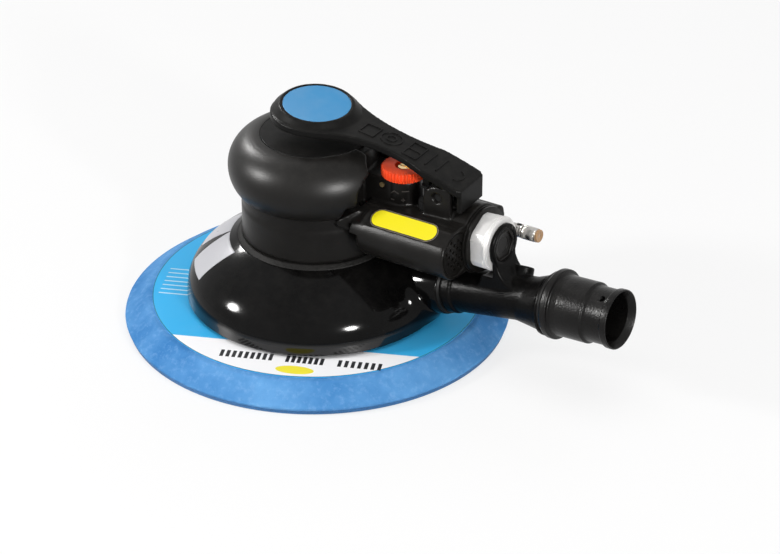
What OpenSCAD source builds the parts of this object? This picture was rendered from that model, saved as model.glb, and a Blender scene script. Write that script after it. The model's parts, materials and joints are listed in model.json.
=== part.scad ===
// Palm-size air random orbital sander with its own dust tube.
// The origin is the centre of the pad's working face. +Z points up through the tool
// and +X runs along the dust tube. All sizes are in millimetres.

/* [Pad] */
// Diameter of the sanding pad
pad_d = 149.5; // [144:0.5:156]
// Height of the pad from its working face to its top
pad_h = 9.5; // [9:0.1:10]
// Diameter of the pad's top, inside the bevelled side
pad_top_d = 131; // [130:0.5:136]
// Height at which the pad is widest
pad_rim_z = 2.4; // [2:0.1:3]
// Thickness of the hook face
hook_t = 1.2; // [0.8:0.1:1.6]
// Diameter of the printed disc on the pad
label_d = 127.6; // [124:0.2:129]
// Thickness of the printed disc
label_t = 0.3; // [0.2:0.05:0.5]
// Diameter of the moulded pad plate
plate_d = 116; // [110:1:118]
// Thickness of the moulded pad plate
plate_t = 4; // [3.5:0.1:4.5]
// Diameter of each dust hole
dust_d = 10; // [8:0.5:12]
// Circle on which the dust holes lie
dust_pcd = 80; // [76:1:84]
// Number of dust holes
dust_n = 6; // [6:1:8]
// Diameter of the pad stud
stud_d = 7.9; // [7.5:0.1:8.2]

/* [Drive] */
// Distance from the motor axis to the pad axis
orbit_r = 1.25; // [1:0.05:1.5]
// Direction of the motor axis, seen from the pad axis, with the tool at rest
orbit_phase = -45; // [-90:5:0]
// Outer diameter of a spindle bearing
spin_brg_d = 22; // [21:0.5:23]
// Width of a spindle bearing
spin_brg_w = 6; // [5.5:0.1:6.2]
// Diameter of the pad spindle in its bearings
spindle_d = 10; // [9.5:0.1:10.5]
// Outer radius of the counterweight
weight_r = 27; // [22:0.5:28]
// Height of the counterweight
weight_h = 9; // [7:0.5:9.5]
// Diameter of the crankshaft in the lower bearing
shaft_d = 12; // [11:0.5:12.5]
// Diameter of the crankshaft in the rotor
rotor_shaft_d = 10; // [9:0.5:10.5]
// Diameter of the crankshaft in the upper bearing
top_shaft_d = 6; // [5.5:0.5:7]
// Diameter of the rotor
rotor_d = 29.2; // [28.4:0.2:29.4]
// Length of the cylinder liner
liner_h = 18; // [16:0.5:18.5]
// Outer diameter of the cylinder liner and end plates
liner_d = 43; // [42:0.2:43.4]
// Bore of the cylinder liner
liner_bore_d = 33.6; // [33.4:0.1:34]
// Offset of the liner bore from the motor axis
liner_offset = 1.8; // [1.6:0.05:1.85]
// Number of rotor vanes
vane_n = 5; // [4:1:6]
// Thickness of a vane
vane_t = 1.6; // [1.4:0.1:2]

/* [Housing] */
// Diameter of the bare neck
neck_d = 56.6; // [56:0.2:58]
// Diameter of the housing inside the grip
core_d = 48.8; // [47.5:0.2:50]
// Height of the housing's lower face
housing_z = 37.5; // [37.4:0.1:37.8]
// Height at which the neck meets the grip
grip_z = 56.4; // [55:0.2:57]
// Widest diameter of the palm grip
grip_d = 66; // [65:0.2:67]
// Height at which the grip is widest
grip_mid_z = 66; // [64:0.5:67]
// Height of the flat top of the grip
grip_top_z = 78.6; // [78.2:0.1:79.4]
// Diameter of the cap in the grip's top
cap_d = 41; // [36:0.5:42]
// Upward tilt of the valve block, in degrees
block_tilt = 2.5; // [1.5:0.5:3]
// Length of the valve block from the motor axis to its end face
block_l = 70; // [69:0.5:71]
// Side position of the exhaust port
port_y = 8; // [7:0.5:8.5]
// Side position of the silencer lobe
lobe_y = -7.5; // [-8:0.5:-6.5]
// Radius of the silencer lobe
lobe_r = 9.5; // [9:0.5:10]
// Side position of the block's far wall
far_y = 24; // [23.6:0.2:25]
// Diameter of the dial boss
boss_d = 14; // [13.2:0.2:15]

/* [Shroud] */
// Diameter of the shroud at its rim
shroud_d = 100.8; // [98:0.2:102]
// Height of the shroud's rim above the working face
shroud_z = 10.8; // [10.6:0.1:11.4]
// Height of the upright band at the rim
band_h = 4.6; // [4:0.2:5.5]
// Wall of the shroud
shroud_t = 2.2; // [1.8:0.1:2.5]
// Diameter of the ring between shroud and neck
neck_ring_d = 60.4; // [59.5:0.2:61.5]

/* [Dust tube] */
// Upward tilt of the dust tube, in degrees
tube_tilt = 11.5; // [10.5:0.5:12]
// Outer diameter of the dust tube at the shroud
tube_d = 17; // [16.5:0.2:17.4]
// Bore of the dust tube
tube_bore_d = 14; // [13:0.2:14.4]
// Upward tilt of the hose cuff, in degrees
cuff_tilt = 5; // [4:0.5:6]
// Diameter of the hose cuff's flange
flange_d = 26.2; // [25:0.2:27]
// Diameter of the hose cuff next to its flange
cuff_d = 22.8; // [22.4:0.1:23.4]
// Diameter of the hose cuff near its mouth
cuff_tip_d = 20.8; // [20.4:0.1:21.4]
// Bore of the hose cuff at its mouth
cuff_bore_d = 18.2; // [17.6:0.1:18.8]
// Length of the hose cuff
cuff_l = 27.2; // [26:0.2:29]

/* [Exhaust and inlet] */
// Size of the exhaust nut across its flats
nut_af = 20; // [18.4:0.2:20.2]
// Length of the exhaust nut's hexagon
nut_l = 5.2; // [4.6:0.1:5.6]
// Diameter of the collar behind the nut
collar_d = 25; // [23.6:0.2:25]
// Diameter of the elbow's boss
elbow_boss_d = 16.6; // [16:0.2:17.8]
// Size of the hexagon recess across its flats
plug_af = 9.6; // [8:0.2:10]
// Diameter of the inlet nipple's knurled end
nipple_d = 5.3; // [5:0.1:6]
// Length of the inlet nipple outside the block
nipple_l = 16.8; // [13:0.2:17.4]

/* [Lever and dial] */
// Sideways turn of the lever, in degrees
lever_yaw = 5; // [4:0.5:6]
// Radius of the lever's round paddle
paddle_r = 17.4; // [16.6:0.1:18]
// Distance from the motor axis to the middle of the paddle
paddle_x = 1; // [0:0.2:2]
// Distance from the motor axis to the lever's hinge pin
hinge_x = 56.5; // [56:0.5:57.5]
// Height of the lever's hinge pin
hinge_z = 68.9; // [68.5:0.1:69.5]
// Diameter of the hinge pin
pin_d = 3; // [2.6:0.1:3.2]
// Diameter of the badge on the paddle
badge_d = 25.6; // [24:0.2:26.4]
// Width of the lever between the ears
hub_w = 7.2; // [6.6:0.2:7.4]
// Distance from the motor axis to the valve stem
stem_x = 49; // [48.6:0.1:49.4]
// Diameter of the valve stem
stem_d = 3; // [2.6:0.1:3.2]
// Diameter of the speed dial
dial_d = 17.2; // [15:0.2:17.6]
// Height of the speed dial
dial_h = 3.7; // [3.2:0.1:4]
// Distance from the motor axis to the dial
dial_x = 37.5; // [37:0.1:37.8]
// Side position of the dial
dial_y = 5; // [4.5:0.1:5.4]

/* [Hidden] */
$fn = 72;

run_gap = 0.06;        // radial clearance of a running fit
move_gap = 0.3;        // clearance between parts that move past each other
thread_gap = 0.02;     // radial clearance of a screwed joint
motor_at = orbit_r * [cos(orbit_phase), sin(orbit_phase)];  // motor axis, seen from the pad axis

// Heights in the pad and spindle
plate_z = pad_h - plate_t;
stud_head_r = 11;
stud_head_t = 1.5;
hub_r = 15;
hub_z = pad_h + 3;
washer_t = 0.7;
spindle_z = hub_z + washer_t;
spindle_hex_h = 3.6;
spindle_hex_r = 8.6;
clip_t = 1;
cup_z = spindle_z + spindle_hex_h + 0.5;
brg_z = cup_z + 0.5 + clip_t;
brg_gap = 1;
brg_top = brg_z + 2 * spin_brg_w + brg_gap;
screw_d = 4;
screw_head_h = 2;
screw_z = brg_top + move_gap;
cup_roof_z = screw_z + screw_head_h + 0.4;
cup_wall = 3;
cup_r = spin_brg_d / 2 + cup_wall;

// Heights in the motor stack
lock_t = 3.5;
lock_z = housing_z + 0.5;
lower_plate_z = lock_z + lock_t;
low_brg_d = 28;
low_brg_w = 8;
plate_web = 1;
liner_z = lower_plate_z + low_brg_w + plate_web;
upper_plate_z = liner_z + liner_h;
top_brg_d = 19;
top_brg_w = 5;
motor_top_z = upper_plate_z + plate_web + top_brg_w;
roof_z = grip_top_z - 1;
web_r = 15;
web_z = housing_z - 0.1;
spigot_r = 26;
spigot_z = 33.5;
lock_r = liner_d / 2 + 0.9;
dowel_d = 2;
dowel_r = liner_d / 2 - 1.9;       // distance of the dowel from the motor axis
shroud_top_z = 36;
weight_z = cup_z + 2;

// The valve block, in a frame on the port axis that tilts about the motor axis
block_z = 49.2;
block_top = 9.8;
block_bottom = -9.5;
far_top = 7.5;
port_boss_r = 13.2;
block_start = 28;
lobe_start = 33;
port_r = 6;
felt_r = 7;
grille_r = 8;
grille_t = 1.8;
duct_r = 2.2;
boss_z = 70;
boss_back = 18;                    // how far the dial boss reaches back into the housing
ear_t = 3;
ear_r = 5.8;
ear_drop = 1.3;                    // distance of the ear's round below the hinge pin
ear_corner = 1.2;
ear_foot = 10;
ear_sink = 1.2;                    // depth of the hole's wide end
felt_l = 18;
silencer_x = block_l - felt_l - 6;
port_x = block_l - 14;
chamber_r = 4.4;
facet = [-11.7, 7.64];
facet_tilt = 30;
facet_x = 49.1;
inlet_y = 22;
inlet_h = -0.9;
nipple_core_r = 2.3;
nipple_in_x = block_l - 9;
collar_t = 2.2;
nut_x = block_l + collar_t;
shoulder_l = 1.8;
elbow_x = nut_x + nut_l + shoulder_l;
elbow_boss_t = 1.6;
plug_r = plug_af / 2 / cos(30) + 0.6;
arm_w = 13;

// The dust tube, along its own axis from the shroud's outlet
tube_x = 57;
tube_z = 26.9;
tube_l = 46.5;
seal_t = 1.2;
spigot_l = 9;
spigot_wall_d = 19.8;
tube_end_r = 11.8;
tube_end_t = 1.8;

// The lever's edge: height of the top surface along the lever
lever_t = 2.2;
lever_crown = 0.6;
lever_tail_x = 67.4;
lever_under = 1;                   // how far a boss reaches into the lever's blank
badge_t = 0.8;
badge_tilt = 5;
badge_roll = 3;
paddle_dome = 3.6;

// The valve under the lever and the regulator under the dial
chamber_z = 46;
poppet_z = 54.2;
poppet_t = 1.9;
bush_z = 56.4;
bush_h = 7;
bush_d = 7;
presser_z = 70.2;
regulator_d = 6;
regulator_z = 54;
regulator_seal_w = 1.5;
function lever_top(x) = 88 - 0.03 * (x + paddle_r) - 0.00238 * pow(max(0, x), 2);

function arc(cx, cy, rx, ry, a0, a1, n) =
  [for (i = [0 : n]) let (a = a0 + (a1 - a0) * i / n) [cx + rx * cos(a), cy + ry * sin(a)]];

module at_motor() { translate(motor_at) children(); }
module at_block() { at_motor() translate([0, 0, block_z]) rotate([0, -block_tilt, 0]) children(); }
module along_x(x, y, z, r, l) { translate([x, y, z]) rotate([0, 90, 0]) cylinder(r = r, h = l); }
module at_tube(s = 0) {
  at_motor() translate([tube_x, port_y, tube_z]) rotate([0, 90 - tube_tilt, 0])
    translate([0, 0, s]) children();
}
module at_cuff(s = 0) {
  at_motor()
    translate([tube_x + tube_l * cos(tube_tilt), port_y, tube_z + tube_l * sin(tube_tilt)])
      rotate([0, 90 - cuff_tilt, 0]) translate([0, 0, s]) children();
}
module at_lever() { at_motor() rotate([0, 0, lever_yaw]) children(); }
module at_dial(z) { at_motor() translate([dial_x, dial_y, z]) children(); }
module ring(r_out, r_in, h) {
  difference() {
    cylinder(r = r_out, h = h);
    translate([0, 0, -1]) cylinder(r = r_in, h = h + 2);
  }
}
module dust_holes() {
  for (i = [0 : dust_n - 1])
    rotate([0, 0, (i + 0.5) * 360 / dust_n]) translate([dust_pcd / 2, 0, -1])
      cylinder(d = dust_d, h = pad_h + 4);
}
module bearing(r_out, r_in, w) {
  race = (r_out - r_in) * 0.28;
  difference() {
    ring(r_out, r_in, w);
    for (z = [-0.01, w - 0.49]) translate([0, 0, z]) ring(r_out - race, r_in + race, 0.5);
  }
}

// ---- pad ----
module hook_face() {
  color("dimgray") difference() {
    cylinder(d = pad_d - 2, h = hook_t);
    dust_holes();
  }
}
module pad_foam() {
  color("steelblue") difference() {
    rotate_extrude() polygon([
      [0, hook_t], [pad_d / 2 - 1, hook_t], [pad_d / 2, pad_rim_z], [pad_d / 2 - 0.4, pad_rim_z + 0.7],
      [pad_top_d / 2 + 0.6, pad_h - 0.3], [pad_top_d / 2 - 0.4, pad_h], [0, pad_h]]);
    translate([0, 0, plate_z]) cylinder(d = plate_d, h = plate_t + 1);
    translate([0, 0, plate_z - stud_head_t]) cylinder(r = stud_head_r, h = stud_head_t + 1);
    dust_holes();
  }
}
module pad_plate() {
  color("gray") difference() {
    union() {
      translate([0, 0, plate_z]) cylinder(d = plate_d, h = plate_t);
      translate([0, 0, plate_z]) cylinder(r = hub_r, h = hub_z - plate_z);
    }
    translate([0, 0, plate_z - 1]) cylinder(d = stud_d + 2 * thread_gap, h = hub_z);
    dust_holes();
  }
}
module pad_label() {
  color("deepskyblue") translate([0, 0, pad_h]) ring(label_d / 2, dust_pcd / 2 + dust_d / 2 + 2, label_t);
}
module pad_stud() {
  color("silver") union() {
    translate([0, 0, plate_z - stud_head_t]) cylinder(r = stud_head_r, h = stud_head_t);
    translate([0, 0, plate_z - 0.5]) cylinder(d = stud_d, h = spindle_z + 8 - plate_z + 0.5);
  }
}
module pad_washer() {
  color("tan") translate([0, 0, hub_z]) ring(9, stud_d / 2 + thread_gap, washer_t);
}
module pad_spindle() {
  shoulder_r = spindle_d / 2 + 1.2;
  color("silver") difference() {
    union() {
      translate([0, 0, spindle_z]) cylinder(r = spindle_hex_r, h = spindle_hex_h, $fn = 6);
      cylinder_from(spindle_z, brg_z - move_gap, 2 * shoulder_r);
      cylinder_from(spindle_z, screw_z, spindle_d);
    }
    translate([0, 0, spindle_z - 1]) cylinder(d = stud_d + 2 * thread_gap, h = 10);
    cylinder_from(screw_z - 5, screw_z + 1, screw_d);
  }
}
module spindle_screw() {
  color("dimgray") difference() {
    union() {
      cylinder_from(screw_z, screw_z + 0.8, spindle_d + 2.4);
      cylinder_from(screw_z, screw_z + screw_head_h, 7);
      cylinder_from(screw_z - 4.5, screw_z + 0.5, screw_d - 2 * thread_gap);
    }
    translate([0, 0, screw_z + 1]) cylinder(r = 1.7, h = 3, $fn = 6);
  }
}

// ---- crank and rotor ----
module spindle_bearing(z) {
  translate([0, 0, z]) bearing(spin_brg_d / 2, spindle_d / 2 + run_gap, spin_brg_w);
}
module spindle_bearing_lower() { color("silver") spindle_bearing(brg_z); }
module spindle_bearing_upper() { color("silver") spindle_bearing(brg_z + spin_brg_w + brg_gap); }
module bearing_spacer() {
  color("gray") translate([0, 0, brg_z + spin_brg_w])
    ring(spin_brg_d / 2, spin_brg_d / 2 - 1.8, brg_gap);
}
module bearing_clip() {
  color("dimgray") translate([0, 0, brg_z - clip_t]) difference() {
    ring(spin_brg_d / 2 + 0.8, spin_brg_d / 2 - 1.6, clip_t);
    translate([0, -1.5, -1]) cube([spin_brg_d, 3, clip_t + 2]);
  }
}
module crankshaft() {
  lead = 0.4;
  color("slategray") difference() {
    union() {
      translate([0, 0, cup_z]) cylinder(r = cup_r, h = web_z - cup_z);
      at_motor() {
        cylinder_from(web_z - 3, web_z, 2 * web_r);
        translate([0, 0, weight_z]) intersection() {
          cylinder(r = weight_r, h = weight_h);
          rotate([0, 0, orbit_phase]) translate([orbit_r + 1.5, -weight_r, -1])
            cube([weight_r, 2 * weight_r, weight_h + 2]);
        }
        cylinder_from(web_z - 1, liner_z + lead, shaft_d);
        cylinder_from(web_z - 1, upper_plate_z - lead, rotor_shaft_d);
        cylinder_from(web_z - 1, motor_top_z + 0.9, top_shaft_d);
      }
    }
    cylinder_from(cup_z - 1, cup_roof_z, spin_brg_d);
    cylinder_from(brg_z - clip_t, brg_z, spin_brg_d + 1.6);
    at_motor() key_slot(0);
  }
}
module cylinder_from(z0, z1, d) { translate([0, 0, z0]) cylinder(d = d, h = z1 - z0); }
module key_slot(gap) {
  translate([rotor_shaft_d / 2 - 1.5, -1.25 - gap, liner_z + 3 - gap])
    cube([3, 2.5 + 2 * gap, 10 + 2 * gap]);
}
module rotor_key() { color("silver") at_motor() key_slot(0); }
module vane_slot(gap, depth) {
  for (i = [0 : vane_n - 1])
    rotate([0, 0, i * 360 / vane_n + 36]) translate([rotor_d / 2 - depth, -vane_t / 2 - gap, -1])
      cube([depth + gap, vane_t + 2 * gap, liner_h + 2]);
}
module rotor() {
  end_gap = move_gap;
  color("gainsboro") at_motor() translate([0, 0, liner_z + end_gap]) difference() {
    cylinder(d = rotor_d, h = liner_h - 2 * end_gap);
    translate([0, 0, -1]) cylinder(d = rotor_shaft_d, h = liner_h + 2);
    translate([0, 0, -1]) cylinder(d = shaft_d + 0.2, h = 1.6);
    vane_slot(0.05, 6.5);
    translate([0, 0, -liner_z - end_gap]) key_slot(0);
  }
}
module rotor_vanes() {
  color("saddlebrown") at_motor() translate([0, 0, liner_z + move_gap]) intersection() {
    vane_slot(0, 6);
    ring(rotor_d / 2 - 0.05, rotor_d / 2 - 6, liner_h - 2 * move_gap);
  }
}
module shaft_nut() {
  color("dimgray") at_motor() translate([0, 0, motor_top_z + move_gap])
    ring(top_shaft_d / 2 + 1, top_shaft_d / 2, 0.5);
}

// ---- motor stack ----
module lower_end_plate() {
  color("lightgray") at_motor() translate([0, 0, lower_plate_z]) difference() {
    cylinder(d = liner_d, h = low_brg_w + plate_web);
    translate([0, 0, -1]) cylinder(d = low_brg_d, h = low_brg_w + 1);
    cylinder(d = shaft_d + 2 * move_gap, h = 20);
    dowel_hole();
  }
}
module upper_end_plate() {
  color("lightgray") at_motor() translate([0, 0, upper_plate_z]) difference() {
    cylinder(d = liner_d, h = plate_web + top_brg_w);
    translate([0, 0, plate_web]) cylinder(d = top_brg_d, h = top_brg_w + 1);
    translate([0, 0, -1]) cylinder(d = top_shaft_d + 2 * move_gap, h = 3);
    dowel_hole();
  }
}
module dowel_hole() { translate([-dowel_r, 0, -5]) cylinder(d = dowel_d, h = 50); }
module liner_dowel() {
  color("silver") at_motor() translate([-dowel_r, 0, lower_plate_z + 4])
    cylinder(d = dowel_d, h = motor_top_z - lower_plate_z - 6);
}
module lower_bearing() {
  color("silver") at_motor() translate([0, 0, lower_plate_z])
    bearing(low_brg_d / 2, shaft_d / 2 + run_gap, low_brg_w);
}
module upper_bearing() {
  color("silver") at_motor() translate([0, 0, upper_plate_z + plate_web])
    bearing(top_brg_d / 2, top_shaft_d / 2 + run_gap, top_brg_w);
}
module cylinder_liner() {
  color("gray") at_motor() translate([0, 0, liner_z]) difference() {
    cylinder(d = liner_d, h = liner_h);
    translate([liner_offset, 0, -1]) cylinder(d = liner_bore_d, h = liner_h + 2);
    dowel_hole();
    for (z = [4, 9, 14]) translate([0, 0, z]) {
      rotate([0, 90, 35]) cylinder(r = 1.6, h = liner_d);
      rotate([0, 90, -40]) cylinder(r = 1.9, h = liner_d);
    }
  }
}
module lock_ring() {
  color("dimgray") at_motor() translate([0, 0, lock_z]) difference() {
    cylinder(r = lock_r - thread_gap, h = lock_t);
    translate([0, 0, -1]) cylinder(r = 10, h = lock_t + 2);
    for (i = [0 : 3]) rotate([0, 0, 90 * i + 45]) translate([16, 0, -1]) cylinder(d = 3, h = 3);
  }
}
module shaft_seal() {
  color("black") at_motor() translate([0, 0, lock_z]) ring(10, shaft_d / 2 + run_gap, 2.4);
}

// ---- housing ----
module block_outline() {
  difference() {
    union() {
      translate([lobe_y, 0]) circle(r = lobe_r);
      polygon([[lobe_y, block_bottom], [far_y - 3, block_bottom], [far_y, block_bottom + 3],
        [far_y, far_top - 3], [far_y - 3, far_top], [lobe_y + 1.5, block_top]]);
      translate([far_y - 3, far_top - 3]) circle(r = 3);
    }
    translate(facet) rotate(facet_tilt) translate([-8, 0]) square([16, 8]);
  }
}
module block_body() {
  at_block() {
    rotate([90, 0, 90]) translate([0, 0, lobe_start]) linear_extrude(block_l - lobe_start) block_outline();
    rotate([90, 0, 90]) translate([0, 0, block_start]) linear_extrude(lobe_start - block_start + 1)
      intersection() {
        block_outline();
        translate([-30, 1.5]) square([60, 20]);
      }
    translate([20, lobe_y + 3, block_bottom]) cube([lobe_start - 19, far_y - lobe_y - 6, far_top - block_bottom]);
    intersection() {
      translate([lobe_start, lobe_y, 0]) scale([0.55, 1, 1]) rotate([0, 90, 0]) sphere(r = lobe_r);
      translate([20, -30, -20]) cube([lobe_start - 20, 60, 40]);
    }
    along_x(block_l - 8, port_y, 0, port_boss_r, 8);
  }
}
module ears() {
  at_lever() for (side = [-1, 1])
    translate([hinge_x, side * (hub_w / 2 + move_gap + ear_t / 2), hinge_z - ear_drop])
      rotate([90, 0, 0]) translate([0, 0, -ear_t / 2]) linear_extrude(ear_t)
        polygon(concat(
          arc(0, 0, ear_r, ear_r, 180, 90, 12),
          arc(ear_r - ear_corner, ear_r - ear_corner, ear_corner, ear_corner, 90, 0, 4),
          [[ear_r, -ear_foot], [-ear_r, -ear_foot]]));
}
module dial_boss() {
  at_dial(block_z + 7) {
    cylinder(d = boss_d, h = boss_z - block_z - 7);
    translate([-boss_back, -boss_d / 2, 0]) cube([boss_back, boss_d, boss_z - block_z - 7]);
  }
}
module neck_fairing() {
  at_motor() rotate([0, 0, -39]) translate([20, 0, 0]) rotate([90, 0, 90]) linear_extrude(10)
    hull() {
      translate([2.2, 55]) circle(r = 1.8);
      translate([8, 53.5]) circle(r = 3);
      translate([9, 57.5]) circle(r = 2);
    }
}
module motor_cavity() {
  at_motor() {
    cylinder_from(spigot_z - 1, lower_plate_z, 2 * lock_r);
    cylinder_from(lower_plate_z - 1, motor_top_z, liner_d);
    cylinder_from(motor_top_z - 1, motor_top_z + 1.3, 14);
  }
}
module air_ways() {
  at_lever() translate([stem_x, 0, 0]) {
    cylinder_from(chamber_z, bush_z, 2 * chamber_r);
    cylinder_from(chamber_z + 4, boss_z + 10, bush_d);
  }
  at_dial(0) {
    cylinder_from(52, 82, regulator_d + 2 * run_gap);
    cylinder_from(boss_z - 3, boss_z - 1.4, regulator_d + 2 * regulator_seal_w);
  }
  at_block() {
    along_x(nipple_in_x, inlet_y, inlet_h, nipple_core_r + thread_gap, 40);
    along_x(stem_x - 2, inlet_y, inlet_h, duct_r, 20);
    translate([stem_x, 3, inlet_h]) rotate([-90, 0, 0]) cylinder(r = duct_r, h = inlet_y - 3);
    along_x(16, 4, 3.6, duct_r - 0.4, stem_x - 18);
    along_x(14, lobe_y - 4.5, 4, duct_r, silencer_x - 12);
    along_x(silencer_x, lobe_y, 0, felt_r, 40);
    along_x(block_l - 2, lobe_y, 0, grille_r, 10);
    along_x(16, port_y + 3.5, 4.6, duct_r, port_x - 14);
    along_x(port_x, port_y, 0, port_r, 30);
  }
}
module motor_housing() {
  seam_z = 50.8;
  color("#2b2b2b") difference() {
    union() {
      at_motor() {
        cylinder_from(housing_z, grip_z, neck_d);
        cylinder_from(spigot_z, housing_z + 2, 2 * spigot_r);
        cylinder_from(grip_z - 1, roof_z, core_d);
      }
      block_body();
      neck_fairing();
      dial_boss();
      ears();
    }
    motor_cavity();
    ear_bore();
    air_ways();
    stop_pin_at() cylinder(d = 2, h = 12);
    at_motor() translate([0, 0, seam_z]) intersection() {
      ring(neck_d, neck_d / 2 - 0.25, 0.4);
      translate([-40, -40, 0]) cube([62, 80, 1]);
    }
  }
}

module palm_grip() {
  half = grip_d / 2;
  cap_r = cap_d / 2;
  round_r = half - cap_r;
  low_r = 13.8;
  a_low = asin((grip_z - grip_mid_z) / low_r);
  pocket_r = dial_d / 2 + 5.4;
  pocket_top = 90;
  gap = 0.4;
  hollow_r = 8.6;
  hollow_z = 64;
  color("#202020") difference() {
    at_motor() rotate_extrude() polygon(concat(
      arc(cap_r, grip_mid_z, round_r, low_r, a_low, 0, 12),
      arc(cap_r, grip_mid_z, round_r, grip_top_z - grip_mid_z, 5, 90, 14),
      [[cap_r, roof_z], [core_d / 2, roof_z], [core_d / 2, grip_z]]));
    at_dial(0) cylinder(r = pocket_r, h = pocket_top);
    at_dial(0) translate([0, -pocket_r, 0]) cube([60, 2 * pocket_r, pocket_top]);
    at_dial(0) translate([-boss_back, -boss_d / 2, 0]) cube([boss_back, boss_d, pocket_top]);
    at_motor() along_x(core_d / 2 - 4, lobe_y + 2.3, hollow_z, hollow_r, 40);
    at_block() translate([20, lobe_y - lobe_r - gap, -20])
      cube([60, far_y - lobe_y + lobe_r + 2 * gap, block_top + 21.6]);
  }
}
module top_cap() {
  color("#262626") at_motor() cylinder_from(roof_z, grip_top_z, cap_d);
}

// ---- shroud ----
function dome(r0, r1, z0, z1, n) =
  [for (i = [0 : n]) let (t = i / n) [r0 - (r0 - r1) * t * t, z0 + (z1 - z0) * t]];
module dust_shroud() {
  z_band = shroud_z + band_h;
  roof_t = 1.3;
  r_out = shroud_d / 2 - 0.4;
  r_in = r_out - shroud_t;
  color("#151515") difference() {
    union() {
      at_motor() rotate_extrude() polygon(concat(
        [[0, shroud_z], [shroud_d / 2 - 0.6, shroud_z], [shroud_d / 2, shroud_z + 0.6]],
        [[r_out + 0.2, z_band - 0.4]],
        dome(r_out, neck_ring_d / 2, z_band, shroud_top_z, 12),
        [[0, shroud_top_z]]));
      at_tube(-26) cylinder(d = tube_d + 3.4, h = 26);
    }
    at_motor() rotate_extrude() polygon(concat(
      [[0, 0], [r_in, 0]],
      dome(r_in, spigot_r - 1.5, z_band, spigot_z - roof_t, 10),
      [[0, spigot_z - roof_t]]));
    at_motor() cylinder(r = spigot_r, h = 60);
    at_tube(-40) cylinder(d = tube_bore_d, h = 60);
  }
}
module neck_ring() {
  color("#3a3a3a") at_motor() translate([0, 0, shroud_top_z]) difference() {
    cylinder(d1 = neck_ring_d, d2 = neck_ring_d - 1, h = housing_z - shroud_top_z);
    translate([0, 0, -1]) cylinder(r = spigot_r, h = 5);
  }
}
module shroud_stickers() {
  sticker_t = 0.25;
  w = 16;
  r0 = shroud_d / 2 - 0.4;
  r1 = neck_ring_d / 2;
  z0 = shroud_z + band_h;
  color("white") for (a = [225, 196]) intersection() {
    at_motor() rotate_extrude() difference() {
      polygon(concat(dome(r0 + sticker_t, r1 + sticker_t, z0, shroud_top_z, 12),
        [[20, shroud_top_z], [20, z0]]));
      polygon(concat(dome(r0, r1, z0, shroud_top_z, 12), [[10, shroud_top_z], [10, z0 - 1], [r0, z0 - 1]]));
    }
    at_motor() rotate([0, 0, a]) translate([24, -w / 2, 23.5]) cube([24, w, 10.8]);
  }
}

// ---- dust tube and cuff ----
module tube_seal() {
  color("black") at_tube(0) ring(tube_d / 2 + 1.2, tube_bore_d / 2 + 0.6, seal_t);
}
module arm_profile() {
  top = block_z + elbow_x * tan(block_tilt);
  difference() {
    polygon([[elbow_x - 4.2, top], [elbow_x + elbow_boss_t, top], [elbow_x + elbow_boss_t + 1, 46],
      [elbow_x + 14, 34], [elbow_x - 7, 32], [elbow_x - 4.5, 42]]);
    translate([elbow_x + 12.3, 49.6]) circle(r = 10.5);
  }
}
module vacuum_tube() {
  flare_s = 29;
  flare_drop = 1;
  hump_r = 4;
  hump_h = 3;
  bend_d = 1;
  color("#1c1c1c") difference() {
    union() {
      at_tube(seal_t) cylinder(d = tube_d + 1.6, h = 4);
      at_tube(seal_t) cylinder(d = tube_d, h = tube_l - seal_t);
      at_tube(flare_s) translate([flare_drop, 0, 0])
        cylinder(r1 = tube_d / 2 - flare_drop - 0.4, r2 = tube_end_r - 1, h = tube_l - tube_end_t - flare_s);
      at_cuff(-tube_end_t) translate([flare_drop, 0, 0]) cylinder(r = tube_end_r, h = tube_end_t);
      at_cuff(-1) cylinder(d = spigot_wall_d, h = spigot_l);
      at_block() along_x(elbow_x, port_y, 0, elbow_boss_d / 2, elbow_boss_t);
      at_motor() translate([0, port_y + arm_w / 2, 0]) rotate([90, 0, 0]) linear_extrude(arm_w) arm_profile();
      at_tube(30.5) rotate([0, 0, -35]) translate([-tube_d / 2 - hump_h, 0, 0]) rotate([0, 90, 0])
        cylinder(r = hump_r, h = 5);
    }
    at_tube(0) cylinder(d = tube_bore_d, h = tube_l);
    at_cuff(0) sphere(d = tube_bore_d + bend_d);
    at_cuff(0) cylinder(d = tube_bore_d, h = spigot_l + 6);
    at_block() {
      along_x(elbow_x - 1, port_y, 0, plug_r + thread_gap, 6);
      along_x(nut_x - 12, port_y, 0, collar_d / 2 + move_gap, elbow_x - nut_x + 12);
    }
  }
}
module port_plug() {
  recess_r = plug_af / 2 / cos(30);
  hole_r = plug_af / 3;
  color("#101010") at_block() difference() {
    along_x(elbow_x, port_y, 0, plug_r, 1.4);
    translate([elbow_x + 0.5, port_y, 0]) rotate([0, 90, 0]) rotate([0, 0, 30])
      cylinder(r = recess_r, h = 6, $fn = 6);
    along_x(elbow_x - 3, port_y, 0, hole_r, 8);
  }
}
module cuff_ring() {
  color("#101010") at_cuff(0) ring(flange_d / 2 - 1.2, spigot_wall_d / 2, 0.8);
}
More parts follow.
